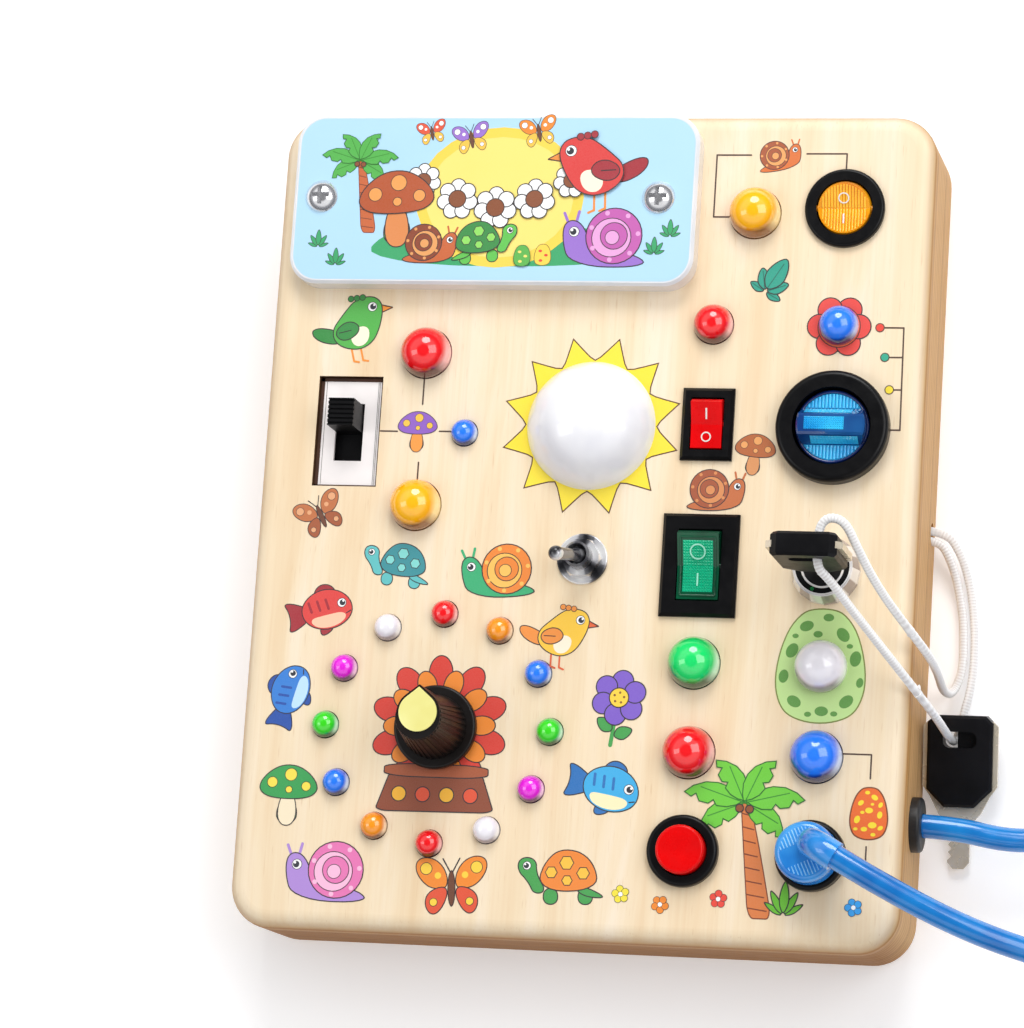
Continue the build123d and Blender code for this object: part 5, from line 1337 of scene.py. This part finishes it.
PLATE_MARGIN = 1.2
PLATE_CORNER = 7.4
FEW_SPOTS = ((-0.3, 0.3, 1.3, 0), (0.4, -0.1, 1.3, 0), (-0.2, -0.6, 1.3, 0))
GRASS = ((160, 7), (20, 7), (125, 9), (55, 9), (90, 11))
PLATE_MOTIFS = (
    (palm, (-71, 104, 0.66), ("C9622C", "4FB247", "8C4A22")),
    (mushroom, (-59, 89, 1.18, 4), ("B5501E", "F0A050", "E08A4A")),
    (snail, (-48.5, 79, 0.8), ("C9622C", "8C3E1C", "E9A15C")),
    (bird, (0.5, 101.5, 1.16, 10, True), ("DB3A36", "A52430", "F0913A")),
    (snail, (3.4, 81, 1.2, 0, True), ("9A70CE", "C55CB0", "E9A6DC")),
    (tortoise, (-33, 79.4, 0.84, 6), ("5DC24A", "2E8B3C", "8EDC5E")),
    (egg, (-14.6, 76.2, 0.42), (12, 15, "F6D64A", "E8402E", "7A3A12", FEW_SPOTS)),
    (egg, (-20.6, 75.8, 0.42), (12, 15, "58B348", "FBE477", "2A5A2A", FEW_SPOTS)),
    (butterfly, (-50, 112.4, 0.4, 12), ("E2502C", "F6C445", "FFFFFF")),
    (butterfly, (-18, 112.6, 0.5, 12), ("F28A22", "F6C445", "FFFFFF")),
    (butterfly, (-38, 110.6, 0.5, 12), ("9A70CE", "F6C445", "FFFFFF")),
    *[(tuft, (x, y, 0.5), (GRASS, "2FA566", None, 0.18))
      for x, y in ((-82, 78), (18, 76.4), (22.4, 81.6), (-76.4, 72.6))],
)


def print_plate():
    """The light blue print of the battery plate: a sun disc, daisies, hills, a palm and garden animals."""
    low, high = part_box("battery_cover")
    left, bottom = (value / MM + PLATE_MARGIN for value in low[:2])
    right, head = (value / MM - PLATE_MARGIN for value in high[:2])
    corners = ((left, bottom), (right, bottom), (right, head), (left, head))
    sheet = Sheet("plate_print", PLATE_TOP)
    sheet.blob(corners, "B3DDF7", 0, PLATE_CORNER, "OFFSET", 10)
    sheet.move(-30.5, 91.5)
    hills = [(-40, -19), (-30, -7), (-18, -15), (-4, -9), (10, -16), (24, -6), (36, -10), (46, -19)]
    sheet.blob(hills, "2FA566", 0)
    sheet.disc(2, 1.6, 25, "F6D64A", 0, 0.84)
    sheet.disc(2, 1.6, 22, "FBE477", 0, 0.82)
    for x, y, size in ((-21, 6.5, 4.6), (-10.5, 1, 5.4), (1, -1.6, 5.6), (12.5, 1, 5.4), (23, 6.5, 4.6)):
        petals(sheet, 7, size * 0.72, size * 0.44, "FFFFFF", x, y)
        sheet.disc(x, y, size * 0.5, "8A4A24", 0.25)
    sheet.draw(PLATE_MOTIFS)
    sheet.finish()


BACK_COLOURS = ("E2502C", "F2B32A", "3E8FD8", "3FA04A", "9A70CE", "E875B4", "26A889", "E8402E")
BACK_MARGIN = 4
BACK_ROWS = 6
BACK_PITCH = 0.325    # from shape to shape, as a share of half the cover
BACK_OUTLINES = {
    "star": ([(x * reach, y * reach) for (x, y, _), reach in zip(ring_of(10, 9.4), (1, 0.48) * 5)], 0),
    "heart": ([(0, 5.4), (4.6, 10.4), (11.4, 5.8), (6.4, -3.4), (0, -10.4), (-6.4, -3.4), (-11.4, 5.8),
               (-4.6, 10.4)], 40),
    "square": ([(-7.4, -7.4), (7.4, -7.4), (7.4, 7.4), (-7.4, 7.4)], 16),
    "triangle": ([(-8.6, -6.6), (8.6, -6.6), (0, 9.4)], 12),
}
BACK_SHAPES = ("circle", "star", "heart", "square", "flower", "triangle")


def plain_shape(sheet, kind, colour):
    """One of the back's shapes with a lighter inside."""
    if kind == "circle":
        sheet.disc(0, 0, 8, colour)
    elif kind == "flower":
        petals(sheet, 6, 5, 3.6, colour)
    else:
        points, soft = BACK_OUTLINES[kind]
        sheet.blob(points, colour, OUTLINE, soft)
    sheet.disc(0, 0, 3, "FFFFFF", 0.25)


def print_back():
    """The back cover: six rows of six plain coloured shapes inside a thin line."""
    sheet = Sheet("back_print", 0, -1)
    wide, tall = (value / MM - BACK_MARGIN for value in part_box("back_cover")[1][:2])
    sheet.edge = "8A7A6E"
    sheet.stroke([(-wide, -tall), (wide, -tall), (wide, tall), (-wide, tall), (-wide, -tall)], 0.5)
    sheet.edge = DARK_LINE
    for row in range(BACK_ROWS):
        for column in range(BACK_ROWS):
            x, y = (column - 2.5) * wide * BACK_PITCH, (2.5 - row) * tall * BACK_PITCH
            sheet.move(x, y, 1.1)
            colour = BACK_COLOURS[(row * 5 + column * 3) % len(BACK_COLOURS)]
            plain_shape(sheet, BACK_SHAPES[(row + 2 * column) % len(BACK_SHAPES)], colour)
    sheet.finish()


for step in (
    add_camera, add_studio, make_materials, add_cords, add_spring, dress_rockers, dress_selector, dress_knob,
    dress_lock, dress_plug, dress_spare_key, dress_slide_switch, print_board, print_plate, print_back,
):
    step()
